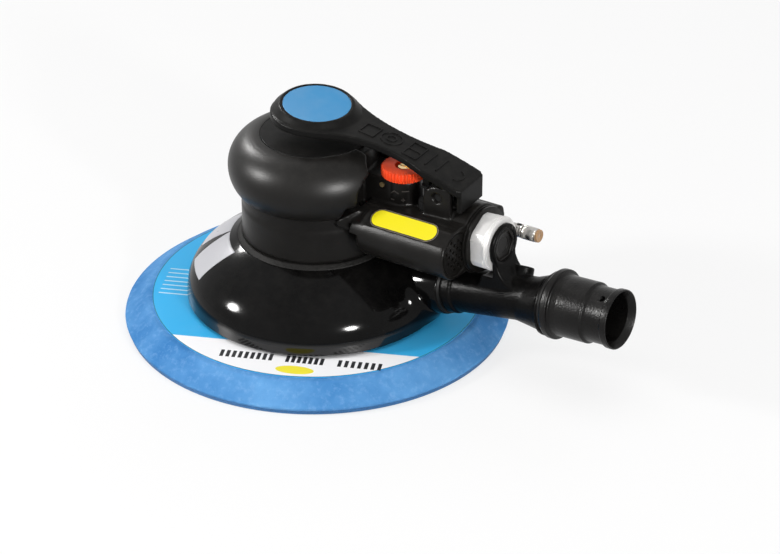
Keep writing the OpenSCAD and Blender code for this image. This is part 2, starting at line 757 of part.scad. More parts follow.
module hose_cuff() {
  mouth_l = 2.6;
  tip_l = 8;
  notch_r = 1.3;
  color("#1c1c1c") at_cuff(1.1) difference() {
    union() {
      cylinder(d = flange_d, h = 3);
      cylinder(d = cuff_d, h = cuff_l - mouth_l - tip_l);
      cylinder(d = cuff_tip_d, h = cuff_l);
      translate([0, 0, cuff_l - mouth_l]) cylinder(d = cuff_tip_d + 1.4, h = mouth_l);
    }
    translate([0, 0, -1]) cylinder(d = spigot_wall_d + 2 * run_gap, h = spigot_l + 0.3);
    translate([0, 0, -1]) cylinder(d = cuff_bore_d, h = cuff_l + 2);
    translate([0, 0, cuff_l - mouth_l]) cylinder(d1 = cuff_bore_d, d2 = cuff_tip_d + 0.4, h = mouth_l + 0.1);
    translate([0, 0, cuff_l - mouth_l - 2.2]) rotate([0, -90, 25]) cylinder(r = notch_r, h = cuff_d);
  }
}

// ---- exhaust and inlet ----
module exhaust_collar() {
  color("#262626") at_block() difference() {
    along_x(block_l, port_y, 0, collar_d / 2, collar_t);
    along_x(block_l - 1, port_y, 0, port_r, collar_t + 2);
    translate([block_l + 0.8, port_y, 0]) rotate([0, 90, 0]) ring(collar_d, collar_d / 2 - 0.5, 0.6);
    along_x(block_l - 1, inlet_y, inlet_h, nipple_d / 2 + move_gap, collar_t + 2);
  }
}
module exhaust_nut() {
  bore_r = 4.4;
  color("whitesmoke") at_block() difference() {
    union() {
      intersection() {
        translate([nut_x, port_y, 0]) rotate([0, 90, 0]) cylinder(r = nut_af / 2 / cos(30), h = nut_l, $fn = 6);
        along_x(nut_x, port_y, 0, nut_af / 2 + 0.8, nut_l);
      }
      along_x(nut_x + nut_l, port_y, 0, nut_af / 2 + 0.4, shoulder_l / 2);
      along_x(nut_x + nut_l, port_y, 0, nut_af / 2 - 0.1, shoulder_l);
      along_x(block_l - 8, port_y, 0, port_r - thread_gap, collar_t + 9);
    }
    along_x(block_l - 9, port_y, 0, bore_r, 30);
  }
}
module exhaust_grille() {
  slot = [8, 1.1, 1.9];
  pitch = 2.6;
  row_h = 2.9;
  color("#181818") at_block() difference() {
    along_x(block_l - 2, lobe_y, 0, grille_r, grille_t);
    for (row = [0, 1], i = [-2 : 2])
      translate([block_l - 5, lobe_y + (i + row / 2) * pitch - slot.y / 2, -1.6 + row * row_h]) cube(slot);
  }
}
module muffler_felt() {
  color("tan") at_block() along_x(block_l - 2 - felt_l, lobe_y, 0, felt_r, felt_l);
}
module inlet_nipple() {
  r = nipple_d / 2;
  tip_x = block_l + nipple_l;
  color("silver") at_block() difference() {
    union() {
      along_x(nipple_in_x, inlet_y, inlet_h, nipple_core_r, tip_x - 1 - nipple_in_x);
      along_x(block_l + 0.8, inlet_y, inlet_h, r - 0.3, 6.2);
      along_x(block_l + 8, inlet_y, inlet_h, r, nipple_l - 9);
    }
    along_x(nipple_in_x - 1, inlet_y, inlet_h, 1.5, nipple_l + 9);
    translate([block_l + 5.6, inlet_y, inlet_h - 6]) cylinder(r = 0.9, h = 12);
  }
}
module nipple_seal() {
  color("black") at_block() translate([block_l, inlet_y, inlet_h]) rotate([0, 90, 0])
    ring(nipple_d / 2 + 0.15, nipple_core_r, 0.8);
}
module nipple_disc() {
  color("tan") at_block() along_x(block_l + nipple_l - 1, inlet_y, inlet_h, nipple_d / 2 - 0.7, 1);
}

// ---- lever, valve and dial ----
module lever_outline() {
  waist = 7.2;
  tail = 9.3;
  bow_r = 50;
  bow_x = paddle_x + sqrt(pow(paddle_r + bow_r, 2) - pow(waist + bow_r, 2));
  touch = paddle_r / (paddle_r + bow_r);
  difference() {
    union() {
      translate([paddle_x, 0]) circle(r = paddle_r);
      polygon([[bow_x, waist + 1], [paddle_x + (bow_x - paddle_x) * touch, (waist + bow_r) * touch],
        [paddle_x + (bow_x - paddle_x) * touch, -(waist + bow_r) * touch], [bow_x, -waist - 1]]);
      translate([bow_x - 1, -tail]) square([lever_tail_x - bow_x + 1, 2 * tail]);
    }
    for (side = [-1, 1]) {
      translate([bow_x, side * (waist + bow_r)]) circle(r = bow_r, $fn = 180);
      translate([lever_tail_x + 1, side * (tail + 2)]) rotate(45) square(6.4, center = true);
    }
  }
}
module lever_side(top) {
  n = 16;
  x0 = -paddle_r - 1;
  step = (lever_tail_x + 1 - x0) / n;
  polygon(concat(
    [for (i = [0 : n]) [x0 + i * step, lever_top(x0 + i * step) + top]],
    [for (i = [n : -1 : 0]) [x0 + i * step, lever_top(x0 + i * step) - lever_t]]));
}
module lever_slab(top) {
  translate([0, 60, 0]) rotate([90, 0, 0]) linear_extrude(120) lever_side(top);
}
module on_paddle() {
  at_lever() translate([paddle_x, 0, lever_top(paddle_x)]) rotate([badge_roll, badge_tilt, 0]) children();
}
module throttle_lever() {
  tail_drop = 8.8;
  hub_r = 4;
  presser_w = 3.4;
  color("#242424") difference() {
    union() {
      at_lever() intersection() {
        lever_slab(lever_crown);
        linear_extrude(120) lever_outline();
      }
      intersection() {
        on_paddle() {
          translate([0, 0, -2]) cylinder(r = paddle_r - 0.7, h = 2.8);
          translate([0, 0, 0.8]) cylinder(r1 = paddle_r - 0.7, r2 = badge_d / 2 + 1.2, h = paddle_dome - 0.8);
        }
        at_lever() lever_slab(20);
      }
      at_lever() {
        translate([lever_tail_x - 2, -8, lever_top(lever_tail_x) - tail_drop]) cube([2, 16.4, tail_drop + 0.5]);
        translate([hinge_x, hub_w / 2, hinge_z]) rotate([90, 0, 0]) cylinder(r = hub_r, h = hub_w);
        translate([hinge_x - hub_r, -hub_w / 2, hinge_z])
          cube([2 * hub_r, hub_w, lever_top(hinge_x) - hinge_z - lever_under]);
        translate([stem_x - presser_w / 2, -presser_w / 2, presser_z])
          cube([presser_w, presser_w, lever_top(stem_x) - presser_z - lever_under]);
      }
    }
    at_lever() translate([hinge_x, 20, hinge_z]) rotate([90, 0, 0]) cylinder(d = pin_d + 2 * run_gap, h = 40);
    on_paddle() translate([0, 0, paddle_dome - badge_t]) cylinder(d = badge_d, h = 6);
  }
}
module lever_badge() {
  color("dodgerblue") on_paddle() translate([0, 0, paddle_dome - badge_t])
    cylinder(d = badge_d - 2 * thread_gap, h = badge_t - 0.1);
}
module hinge_pin() {
  half = hub_w / 2 + move_gap + ear_t - ear_sink - 0.1;
  color("silver") at_lever() translate([hinge_x, half, hinge_z]) rotate([90, 0, 0])
    cylinder(d = pin_d, h = 2 * half);
}
module ear_bore() {
  face = hub_w / 2 + move_gap + ear_t;
  at_lever() translate([hinge_x, 15, hinge_z]) rotate([90, 0, 0]) cylinder(d = pin_d, h = 30);
  at_lever() for (side = [-1, 1]) translate([hinge_x, side * (face + 2), hinge_z]) rotate([side * 90, 0, 0])
    cylinder(d = pin_d + 1, h = ear_sink + 2);
}
module valve_bush() {
  color("goldenrod") at_lever() translate([stem_x, 0, bush_z]) ring(bush_d / 2, stem_d / 2 + run_gap, bush_h);
}
module valve_stem() {
  head_z = presser_z - move_gap;
  color("silver") at_lever() translate([stem_x, 0, 0]) {
    cylinder_from(poppet_z, head_z, stem_d);
    cylinder_from(head_z - 1, head_z, stem_d + 1.6);
  }
}
module valve_poppet() {
  color("black") at_lever() translate([stem_x, 0, poppet_z]) ring(chamber_r - move_gap, stem_d / 2, poppet_t);
}
module valve_spring() {
  coil = 1.1;
  turns = 8;
  pitch = (poppet_z - chamber_z - coil) / (turns - 1);
  color("silver") at_lever() translate([stem_x, 0, chamber_z + coil / 2]) rotate_extrude()
    for (i = [0 : turns - 1]) translate([2.6, i * pitch]) circle(d = coil);
}
module speed_dial() {
  teeth = 36;
  web = 1;
  color("orangered") at_dial(boss_z + move_gap) difference() {
    cylinder(d = dial_d, h = dial_h);
    for (i = [0 : teeth - 1]) rotate([0, 0, i * 360 / teeth]) translate([dial_d / 2 + 0.25, 0, -1])
      cylinder(r = 0.55, h = dial_h + 2);
    translate([0, 0, web]) cylinder(d = regulator_d + 1, h = dial_h);
    translate([0, 0, -1]) cylinder(d = regulator_d, h = dial_h);
  }
}
module regulator_spindle() {
  top = boss_z + dial_h - 0.2;
  color("goldenrod") at_dial(0) difference() {
    union() {
      cylinder_from(regulator_z, boss_z + move_gap + 1, regulator_d);
      cylinder_from(regulator_z, top, 4.4);
    }
    translate([-5, -0.4, top - 0.8]) cube([10, 0.8, 2]);
  }
}
module regulator_seal() {
  color("black") at_dial(boss_z - 3)
    ring(regulator_d / 2 + regulator_seal_w, regulator_d / 2 + run_gap, 1.6);
}
module stop_pin_at() {
  at_dial(67.1) translate([-5.2, 4 - boss_d / 2, 0]) rotate([90, 0, 0]) children();
}
module stop_pin() {
  color("goldenrod") stop_pin_at() cylinder(d = 2, h = 4.1);
}
module oil_sticker() {
  r = 3.5;
  l = 29;
  color("yellow") at_block() translate([facet_x, facet[0], facet[1]]) rotate([facet_tilt, 0, 0])
    linear_extrude(0.2) {
      for (side = [-1, 1]) translate([side * (l / 2 - r), 0]) circle(r = r);
      square([l - 2 * r, 2 * r], center = true);
    }
}

hook_face();
pad_foam();
pad_plate();
pad_label();
pad_stud();
pad_washer();
pad_spindle();
spindle_bearing_lower();
spindle_bearing_upper();
bearing_spacer();
bearing_clip();
spindle_screw();
crankshaft();
rotor();
rotor_key();
rotor_vanes();
shaft_nut();
lower_end_plate();
upper_end_plate();
lower_bearing();
upper_bearing();
cylinder_liner();
liner_dowel();
lock_ring();
shaft_seal();
motor_housing();
palm_grip();
top_cap();
dust_shroud();
neck_ring();
vacuum_tube();
tube_seal();
port_plug();
cuff_ring();
hose_cuff();
exhaust_collar();
exhaust_nut();
exhaust_grille();
muffler_felt();
inlet_nipple();
nipple_disc();
nipple_seal();
throttle_lever();
lever_badge();
hinge_pin();
valve_bush();
valve_stem();
valve_poppet();
valve_spring();
speed_dial();
regulator_spindle();
regulator_seal();
stop_pin();
oil_sticker();
shroud_stickers();
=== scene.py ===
import json
import math
import bmesh
import bpy
import numpy as np
from mathutils import Matrix, Vector, noise

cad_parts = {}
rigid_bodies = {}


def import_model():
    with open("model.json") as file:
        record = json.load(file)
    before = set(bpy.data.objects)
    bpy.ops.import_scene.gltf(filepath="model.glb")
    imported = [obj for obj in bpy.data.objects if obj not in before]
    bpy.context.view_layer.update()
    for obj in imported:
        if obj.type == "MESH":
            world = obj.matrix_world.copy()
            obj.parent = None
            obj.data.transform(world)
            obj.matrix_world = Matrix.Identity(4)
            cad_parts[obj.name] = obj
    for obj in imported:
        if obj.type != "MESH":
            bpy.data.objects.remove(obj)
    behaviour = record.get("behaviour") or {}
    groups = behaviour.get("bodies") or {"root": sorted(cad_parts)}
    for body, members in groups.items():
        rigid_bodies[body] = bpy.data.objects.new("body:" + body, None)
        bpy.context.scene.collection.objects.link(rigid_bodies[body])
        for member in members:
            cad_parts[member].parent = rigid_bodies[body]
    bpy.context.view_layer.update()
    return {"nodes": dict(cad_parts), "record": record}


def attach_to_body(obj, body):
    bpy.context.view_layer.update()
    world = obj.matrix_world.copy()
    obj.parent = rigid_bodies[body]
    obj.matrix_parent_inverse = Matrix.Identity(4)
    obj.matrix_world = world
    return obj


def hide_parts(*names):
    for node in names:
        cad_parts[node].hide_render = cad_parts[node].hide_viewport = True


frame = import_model()
record = frame["record"]
slots = {part["node"]: part["material_slot"] for part in record["subparts"]}
mm = 0.001

# where things are, in millimetres and degrees
layout = {
    "motorX": 0.884, "motorY": -0.884,      # the motor axis, from the pad axis; the rest starts from it
    "blockZ": 49.2, "blockTilt": 2.5, "blockLength": 70.0,
    "tubeX": 57.0, "tubeZ": 26.9, "tubeLength": 46.5, "tubeTilt": 11.5,
    "cuffTilt": 5.0, "portY": 8.0, "lobeY": -7.5,
    "nippleY": 22.0, "nippleH": -0.9,       # on the end face of the valve block
    "leverYaw": 5.0, "dialX": 37.5, "dialY": 5.0,
}


def turned(angle, axis):
    return Matrix.Rotation(math.radians(angle), 4, axis)


def shifted(x, y, z):
    return Matrix.Translation((x, y, z))


motorPlace = shifted(layout["motorX"], layout["motorY"], 0)
blockPlace = motorPlace @ shifted(0, 0, layout["blockZ"]) @ turned(-layout["blockTilt"], "Y")
tubePlace = (motorPlace @ shifted(layout["tubeX"], layout["portY"], layout["tubeZ"])
             @ turned(90 - layout["tubeTilt"], "Y"))
tubeRise = math.radians(layout["tubeTilt"])
cuffPlace = (motorPlace
             @ shifted(layout["tubeX"] + layout["tubeLength"] * math.cos(tubeRise), layout["portY"],
                       layout["tubeZ"] + layout["tubeLength"] * math.sin(tubeRise))
             @ turned(90 - layout["cuffTilt"], "Y"))
leverPlace = motorPlace @ turned(layout["leverYaw"], "Z")
dialPlace = motorPlace @ shifted(layout["dialX"], layout["dialY"], 0)
alongX = turned(90, "Y")
lobePlace = blockPlace @ shifted(0, layout["lobeY"], 0) @ alongX
portPlace = blockPlace @ shifted(0, layout["portY"], 0) @ alongX
nipplePlace = blockPlace @ shifted(0, layout["nippleY"], layout["nippleH"]) @ alongX

# camera and light: lengths in metres, the lens and sensor in millimetres
cameraSetup = {
    "azimuth": 36.0, "elevation": 30.31, "roll": -0.21, "distance": 1.0,
    "target": (0.023455, 0.015515, 0.0156), "lens": 119.54, "sensor": 36.0, "near": 0.01, "far": 20,
}


def placeCamera():
    az = math.radians(cameraSetup["azimuth"])
    el = math.radians(cameraSetup["elevation"])
    roll = math.radians(cameraSetup["roll"])
    back = Vector((math.sin(az) * math.cos(el), -math.cos(az) * math.cos(el), math.sin(el)))
    right = Vector((math.cos(az), math.sin(az), 0))
    up = back.cross(right)
    side = right * math.cos(roll) + up * math.sin(roll)
    top = up * math.cos(roll) - right * math.sin(roll)
    data = bpy.data.cameras.new("camera")
    data.lens = cameraSetup["lens"]
    data.sensor_width = cameraSetup["sensor"]
    data.clip_start = cameraSetup["near"]
    data.clip_end = cameraSetup["far"]
    camera = bpy.data.objects.new("camera", data)
    bpy.context.scene.collection.objects.link(camera)
    spot = Vector(cameraSetup["target"]) + back * cameraSetup["distance"]
    camera.matrix_world = Matrix(((side.x, top.x, back.x, spot.x), (side.y, top.y, back.y, spot.y),
                                  (side.z, top.z, back.z, spot.z), (0, 0, 0, 1)))
    bpy.context.scene.camera = camera


placeCamera()

# azimuth and elevation of each lamp seen from the tool, its size, distance and power;
# the gleam lamps only make highlights, and the top and back lamps make none
lampSetup = {
    "leftLamp": {"azimuth": -137, "elevation": 27, "size": 0.16, "distance": 1.1, "power": 5.6},
    "rightLamp": {"azimuth": -27, "elevation": 20, "size": 0.10, "distance": 1.15, "power": 4.6},
    "topLamp": {"azimuth": -70, "elevation": 76, "size": 1.6, "distance": 1.5, "power": 10.5,
                "gleam": False},
    "backLamp": {"azimuth": 95, "elevation": 38, "size": 0.7, "distance": 1.4, "power": 1.5,
                 "gleam": False},
    "leftGleam": {"azimuth": -136, "elevation": 24, "size": 0.20, "distance": 1.1, "power": 18.0,
                  "body": False},
    "rightGleam": {"azimuth": -25, "elevation": 20, "size": 0.21, "distance": 1.15, "power": 23.0,
                   "body": False},
    "shoulderGleam": {"azimuth": 166, "elevation": 33, "size": 0.14, "distance": 1.2, "power": 12.0,
                      "body": False},
}
# floorGlow is how much plain white the floor shows, fill is the world's light; all lamps share aim and tint
studio = {"floorColour": (0.86, 0.86, 0.86), "floorRough": 0.9, "floorGlow": 0.72, "floorSize": 4.0,
          "floorZ": -0.0002, "fill": 0.40, "fillColour": (0.97, 0.98, 1.0), "aim": (0.02, 0.0, 0.04),
          "tint": (1.0, 0.99, 0.975)}


def addLamps():
    aim = Vector(studio["aim"])
    for name, lamp in lampSetup.items():
        az, el = math.radians(lamp["azimuth"]), math.radians(lamp["elevation"])
        way = Vector((math.cos(az) * math.cos(el), math.sin(az) * math.cos(el), math.sin(el)))
        data = bpy.data.lights.new(name, "AREA")
        data.shape = "DISK"
        data.size = lamp["size"]
        data.energy = lamp["power"]
        data.color = studio["tint"]
        item = bpy.data.objects.new(name, data)
        bpy.context.scene.collection.objects.link(item)
        item.visible_glossy = lamp.get("gleam", True)
        item.visible_diffuse = lamp.get("body", True)
        item.matrix_world = (Matrix.Translation(aim + way * lamp["distance"])
                             @ way.to_track_quat("Z", "Y").to_matrix().to_4x4())


def feed(tree, socket, value):
    # links another node's output, or sets a number or a colour
    if isinstance(value, bpy.types.NodeSocket):
        tree.links.new(value, socket)
    elif isinstance(value, tuple):
        socket.default_value = (*value, 1)
    else:
        socket.default_value = value


def mathNode(tree, kind, a, b, clamp=False):
    node = tree.nodes.new("ShaderNodeMath")
    node.operation = kind
    node.use_clamp = clamp
    feed(tree, node.inputs[0], a)
    feed(tree, node.inputs[1], b)
    return node.outputs[0]


def surroundRays(tree):
    # the rays that see the plain white surround: camera, glossy and transmission
    path = tree.nodes.new("ShaderNodeLightPath").outputs
    either = mathNode(tree, "MAXIMUM", path["Is Camera Ray"], path["Is Glossy Ray"])
    return mathNode(tree, "MAXIMUM", either, path["Is Transmission Ray"])


def mixShaders(tree, share, first, second, target):
    mix = tree.nodes.new("ShaderNodeMixShader")
    tree.links.new(share, mix.inputs[0])
    tree.links.new(first.outputs[0], mix.inputs[1])
    tree.links.new(second.outputs[0], mix.inputs[2])
    tree.links.new(mix.outputs[0], target)


def glowNode(tree, kind, colour, strength):
    node = tree.nodes.new(kind)
    feed(tree, node.inputs["Color"], colour)
    feed(tree, node.inputs["Strength"], strength)
    return node


def newMaterial(name):
    material = bpy.data.materials.new(name)
    material.use_nodes = True
    return material, material.node_tree, material.node_tree.nodes["Principled BSDF"]


def whiteWorld():
    world = bpy.data.worlds.new("studio")
    bpy.context.scene.world = world
    world.use_nodes = True
    tree = world.node_tree
    tree.nodes.clear()
    out = tree.nodes.new("ShaderNodeOutputWorld")
    fill = glowNode(tree, "ShaderNodeBackground", studio["fillColour"], studio["fill"])
    white = glowNode(tree, "ShaderNodeBackground", (1, 1, 1), 1.0)
    mixShaders(tree, surroundRays(tree), fill, white, out.inputs[0])


def addFloor():
    size, z = studio["floorSize"], studio["floorZ"]
    mesh = bpy.data.meshes.new("floor")
    corners = [(-size, -size, z), (size, -size, z), (size, size, z), (-size, size, z)]
    mesh.from_pydata(corners, [], [(0, 1, 2, 3)])
    floor = bpy.data.objects.new("floor", mesh)
    bpy.context.scene.collection.objects.link(floor)
    material, tree, surface = newMaterial("paleFloor")
    for label, value in (("Base Color", studio["floorColour"]), ("Roughness", studio["floorRough"]),
                         ("Specular IOR Level", 0.0)):
        feed(tree, surface.inputs[label], value)
    glow = glowNode(tree, "ShaderNodeEmission", (1, 1, 1), 1.0)
    share = mathNode(tree, "MULTIPLY", surroundRays(tree), studio["floorGlow"])
    mixShaders(tree, share, surface, glow, tree.nodes["Material Output"].inputs["Surface"])
    mesh.materials.append(material)


whiteWorld()
addLamps()
addFloor()
bpy.context.scene.view_settings.view_transform = "Standard"
print("camera, lamps and floor are in place")


# shader node groups shared by the finishes
def newGroup(name, inputs, *outputs):
    # number inputs with their usual values, and number outputs
    tree = bpy.data.node_groups.new(name, "ShaderNodeTree")
    for label, value in inputs.items():
        socket = tree.interface.new_socket(label, in_out="INPUT", socket_type="NodeSocketFloat")
        socket.default_value = value
    for label in outputs:
        tree.interface.new_socket(label, in_out="OUTPUT", socket_type="NodeSocketFloat")
    return tree, tree.nodes.new("NodeGroupInput"), tree.nodes.new("NodeGroupOutput")


def objectPlace(tree):
    return tree.nodes.new("ShaderNodeTexCoord").outputs["Object"]


def onlyZ(tree, vector):
    # the Z of a place or of a normal
    split = tree.nodes.new("ShaderNodeSeparateXYZ")
    tree.links.new(vector, split.inputs[0])
    return split.outputs["Z"]


def noiseNode(tree, vector, scale, detail, roughness):
    node = tree.nodes.new("ShaderNodeTexNoise")
    for label, value in (("Vector", vector), ("Scale", scale), ("Detail", detail), ("Roughness", roughness)):
        feed(tree, node.inputs[label], value)
    return node.outputs[0]


def cellNode(tree, vector, scale, feature="F1"):
    node = tree.nodes.new("ShaderNodeTexVoronoi")
    node.feature = feature
    feed(tree, node.inputs["Vector"], vector)
    feed(tree, node.inputs["Scale"], scale)
    return node.outputs["Distance"]


def rangeNode(tree, value, fromMin, fromMax, toMin=0.0, toMax=1.0):
    node = tree.nodes.new("ShaderNodeMapRange")
    for label, number in (("Value", value), ("From Min", fromMin), ("From Max", fromMax),
                          ("To Min", toMin), ("To Max", toMax)):
        feed(tree, node.inputs[label], number)
    return node.outputs[0]


def grainGroup():
    # fine leathery grain of moulded plastic and rubber: a height and a slow mottle
    tree, start, end = newGroup("mouldedGrain", {"Grain Scale": 2500.0, "Mottle Scale": 60.0},
                                "Height", "Mottle")
    place = objectPlace(tree)
    cells = cellNode(tree, place, start.outputs["Grain Scale"], "SMOOTH_F1")
    fine = noiseNode(tree, place, start.outputs["Grain Scale"], 3.0, 0.6)
    both = mathNode(tree, "ADD", mathNode(tree, "MULTIPLY", cells, 0.6),
                    mathNode(tree, "MULTIPLY", fine, 0.6))
    tree.links.new(both, end.inputs["Height"])
    tree.links.new(noiseNode(tree, place, start.outputs["Mottle Scale"], 4.0, 0.55), end.inputs["Mottle"])
    return tree


def wearAndHighlightGroup():
    # rubbed edges, lightened as wear and as a painted highlight along the edges: where the rounded normal
    # leaves the true one, broken up by noise
    tree, start, end = newGroup("edgeWearAndHighlight", {"Amount": 0.5, "Noise Scale": 500.0}, "Mask")
    bevel = tree.nodes.new("ShaderNodeBevel")
    bevel.samples = 4
    bevel.inputs["Radius"].default_value = 0.6 * mm
    normal = tree.nodes.new("ShaderNodeNewGeometry").outputs["Normal"]
    dot = tree.nodes.new("ShaderNodeVectorMath")
    dot.operation = "DOT_PRODUCT"
    tree.links.new(bevel.outputs[0], dot.inputs[0])
    tree.links.new(normal, dot.inputs[1])
    edge = rangeNode(tree, dot.outputs["Value"], 0.995, 0.9)
    patch = noiseNode(tree, objectPlace(tree), start.outputs["Noise Scale"], 3.0, 0.6)
    patch = rangeNode(tree, patch, 0.42, 0.62)
    mask = mathNode(tree, "MULTIPLY", mathNode(tree, "MULTIPLY", edge, patch), start.outputs["Amount"], True)
    tree.links.new(mask, end.inputs["Mask"])
    return tree


def dustGroup():
    # pale dust that settles on faces turned upwards
    tree, start, end = newGroup("settledDust", {"Amount": 0.1, "Dust Scale": 220.0}, "Mask")
    normal = tree.nodes.new("ShaderNodeNewGeometry").outputs["Normal"]
    upward = rangeNode(tree, onlyZ(tree, normal), 0.1, 1.0)
    cloud = noiseNode(tree, objectPlace(tree), start.outputs["Dust Scale"], 6.0, 0.7)
    lying = mathNode(tree, "MULTIPLY", upward, rangeNode(tree, cloud, 0.4, 0.75))
    tree.links.new(mathNode(tree, "MULTIPLY", lying, start.outputs["Amount"], True), end.inputs["Mask"])
    return tree


def scratchGroup():
    # short fine scratches in two directions, as on handled metal and gloss plastic
    tree, start, end = newGroup("fineScratches", {"Scratch Scale": 300.0, "Amount": 0.3}, "Mask")
    place = objectPlace(tree)
    total = None
    for turn, stretch in ((0.5, 14.0), (2.1, 18.0)):
        mapping = tree.nodes.new("ShaderNodeMapping")
        mapping.inputs["Rotation"].default_value = (turn, 0.3 * turn, turn * 1.7)
        mapping.inputs["Scale"].default_value = (1.0, stretch, 1.0)
        tree.links.new(place, mapping.inputs["Vector"])
        line = noiseNode(tree, mapping.outputs[0], start.outputs["Scratch Scale"], 2.0, 0.5)
        streak = rangeNode(tree, line, 0.66, 0.74)
        total = streak if total is None else mathNode(tree, "MAXIMUM", total, streak)
    tree.links.new(mathNode(tree, "MULTIPLY", total, start.outputs["Amount"], True), end.inputs["Mask"])
    return tree


groups = {"grain": grainGroup(), "wear": wearAndHighlightGroup(), "dust": dustGroup(), "scratch": scratchGroup()}
print("shader groups are built")


# materials
def useGroup(tree, key, **values):
    node = tree.nodes.new("ShaderNodeGroup")
    node.node_tree = groups[key]
    for label, number in values.items():
        node.inputs[label.replace("_", " ")].default_value = number
    return node.outputs


def tinted(colour, times, plus=0.0):
    return tuple(min(1.0, c * times + plus) for c in colour)


def mixColour(tree, factor, first, second):
    node = tree.nodes.new("ShaderNodeMix")
    node.data_type = "RGBA"
    for index, value in ((0, factor), (6, first), (7, second)):
        feed(tree, node.inputs[index], value)
    return node.outputs[2]


def bumpNode(tree, height, strength, depth, under=None):
    # depth in millimetres
    node = tree.nodes.new("ShaderNodeBump")
    for label, value in (("Strength", strength), ("Distance", depth * mm), ("Height", height)):
        feed(tree, node.inputs[label], value)
    if under is not None:
        feed(tree, node.inputs["Normal"], under)
    return node.outputs[0]


def dressSurface(tree, surface, colour, rough, normal, specular):
    for label, value in (("Base Color", colour), ("Roughness", rough), ("Normal", normal),
                         ("Specular IOR Level", specular)):
        feed(tree, surface.inputs[label], value)


# edge wear with its painted edge highlight, and dust, are the usual amounts, and a finish may state its own
usualPlastic = {"wear": 0.1, "dust": 0.02, "dustColour": (0.42, 0.39, 0.35)}
# roughness runs from the first to the second value over the mottle; grain and mottle are scales,
# and depth is the grain's, in millimetres
plastics = {
    "gripRubber": {"colour": (0.006, 0.0055, 0.005), "roughness": (0.34, 0.42), "specular": 0.14,
                   "grain": 2200, "depth": 0.05, "strength": 0.6, "mottle": 45, "wear": 0.08},
    "housingBlack": {"colour": (0.0055, 0.005, 0.0045), "roughness": (0.27, 0.37), "specular": 0.10,
                     "grain": 2000, "depth": 0.06, "strength": 0.6, "mottle": 70, "wear": 0.15},
    "leverBlack": {"colour": (0.0045, 0.0044, 0.0042), "roughness": (0.34, 0.44), "specular": 0.05,
                   "grain": 3000, "depth": 0.03, "strength": 0.45, "mottle": 60, "wear": 0.2},
    "shroudGloss": {"colour": (0.0018, 0.0017, 0.0017), "roughness": (0.08, 0.13), "specular": 0.09,
                    "grain": 900, "depth": 0.008, "strength": 0.2, "mottle": 50, "wear": 0.08,
                    "dust": 0.012, "lowGloss": {"from": 14.6, "to": 16.0, "specular": 0.5}},
    "tubeBlack": {"colour": (0.0015, 0.0014, 0.0014), "roughness": (0.26, 0.36), "specular": 0.05,
                  "grain": 1300, "depth": 0.12, "strength": 0.9, "mottle": 80, "wear": 0.15},
    "cuffRubber": {"colour": (0.003, 0.0027, 0.0026), "roughness": (0.25, 0.35), "specular": 0.14,
                   "grain": 1400, "depth": 0.1, "strength": 0.8, "mottle": 80, "wear": 0.12,
                   "dust": 0.015},
    # the boss's strokes are a lighter grey than the housing: a painted highlight on their raised edges
    "markBlack": {"colour": (0.032, 0.028, 0.025), "roughness": (0.40, 0.50), "specular": 0.25,
                  "grain": 3000, "depth": 0.03, "strength": 0.35, "mottle": 60},
    "bootRubber": {"colour": (0.007, 0.0066, 0.0062), "roughness": (0.5, 0.65), "specular": 0.08,
                   "grain": 1100, "depth": 0.2, "strength": 1.0, "mottle": 1500},
    "dialOrange": {"colour": (0.80, 0.065, 0.014), "roughness": (0.36, 0.46), "specular": 0.12,
                   "grain": 1500, "depth": 0.02, "strength": 0.3, "mottle": 120},
    "plateGrey": {"colour": (0.19, 0.195, 0.20), "roughness": (0.45, 0.60), "specular": 0.3,
                  "grain": 1800, "depth": 0.04, "strength": 0.5, "mottle": 60, "wear": 0.2, "dust": 0.1},
    "rotorResin": {"colour": (0.10, 0.06, 0.035), "roughness": (0.5, 0.65), "specular": 0.3,
                   "grain": 1500, "depth": 0.03, "strength": 0.4, "mottle": 90, "dust": 0.0},
    "sealRubber": {"colour": (0.008, 0.008, 0.008), "roughness": (0.45, 0.6), "specular": 0.1,
                   "grain": 3000, "depth": 0.02, "strength": 0.4, "mottle": 90, "wear": 0.05},
}
metals = {
    "steel": {"colour": (0.62, 0.61, 0.59), "roughness": (0.22, 0.38), "metal": 1.0, "scratch": 0.35},
    "castAlloy": {"colour": (0.55, 0.55, 0.55), "roughness": (0.38, 0.52), "metal": 1.0, "scratch": 0.2},
    "brass": {"colour": (0.80, 0.60, 0.30), "roughness": (0.22, 0.40), "metal": 1.0, "scratch": 0.3},
    "nutAlloy": {"colour": (0.74, 0.73, 0.72), "roughness": (0.42, 0.52), "metal": 0.2, "scratch": 0.3},
    "chrome": {"colour": (0.50, 0.485, 0.46), "roughness": (0.10, 0.22), "metal": 1.0, "scratch": 0.25},
    "darkSteel": {"colour": (0.20, 0.195, 0.19), "roughness": (0.35, 0.5), "metal": 1.0, "scratch": 0.3},
}
prints = {
    "labelBlue": {"colour": (0.035, 0.42, 0.80), "roughness": 0.36, "mottle": 0.04},
    "labelWhite": {"colour": (0.92, 0.92, 0.94), "roughness": 0.4, "mottle": 0.03},
    "labelInk": {"colour": (0.015, 0.015, 0.018), "roughness": 0.4, "mottle": 0.04},
    "labelYellow": {"colour": (0.88, 0.78, 0.05), "roughness": 0.4, "mottle": 0.05},
    "labelEdge": {"colour": (0.02, 0.16, 0.22), "roughness": 0.45, "mottle": 0.12},
    "labelPale": {"colour": (0.45, 0.70, 0.86), "roughness": 0.4, "mottle": 0.12},
    "stickerYellow": {"colour": (0.80, 0.70, 0.012), "roughness": 0.3, "mottle": 0.04},
    "stickerRim": {"colour": (0.22, 0.18, 0.13), "roughness": 0.3, "mottle": 0.12},
    "stickerSilver": {"colour": (0.50, 0.50, 0.53), "roughness": 0.3, "mottle": 0.12},
    "badgeBlue": {"colour": (0.050, 0.26, 0.52), "roughness": 0.38, "mottle": 0.12},
}
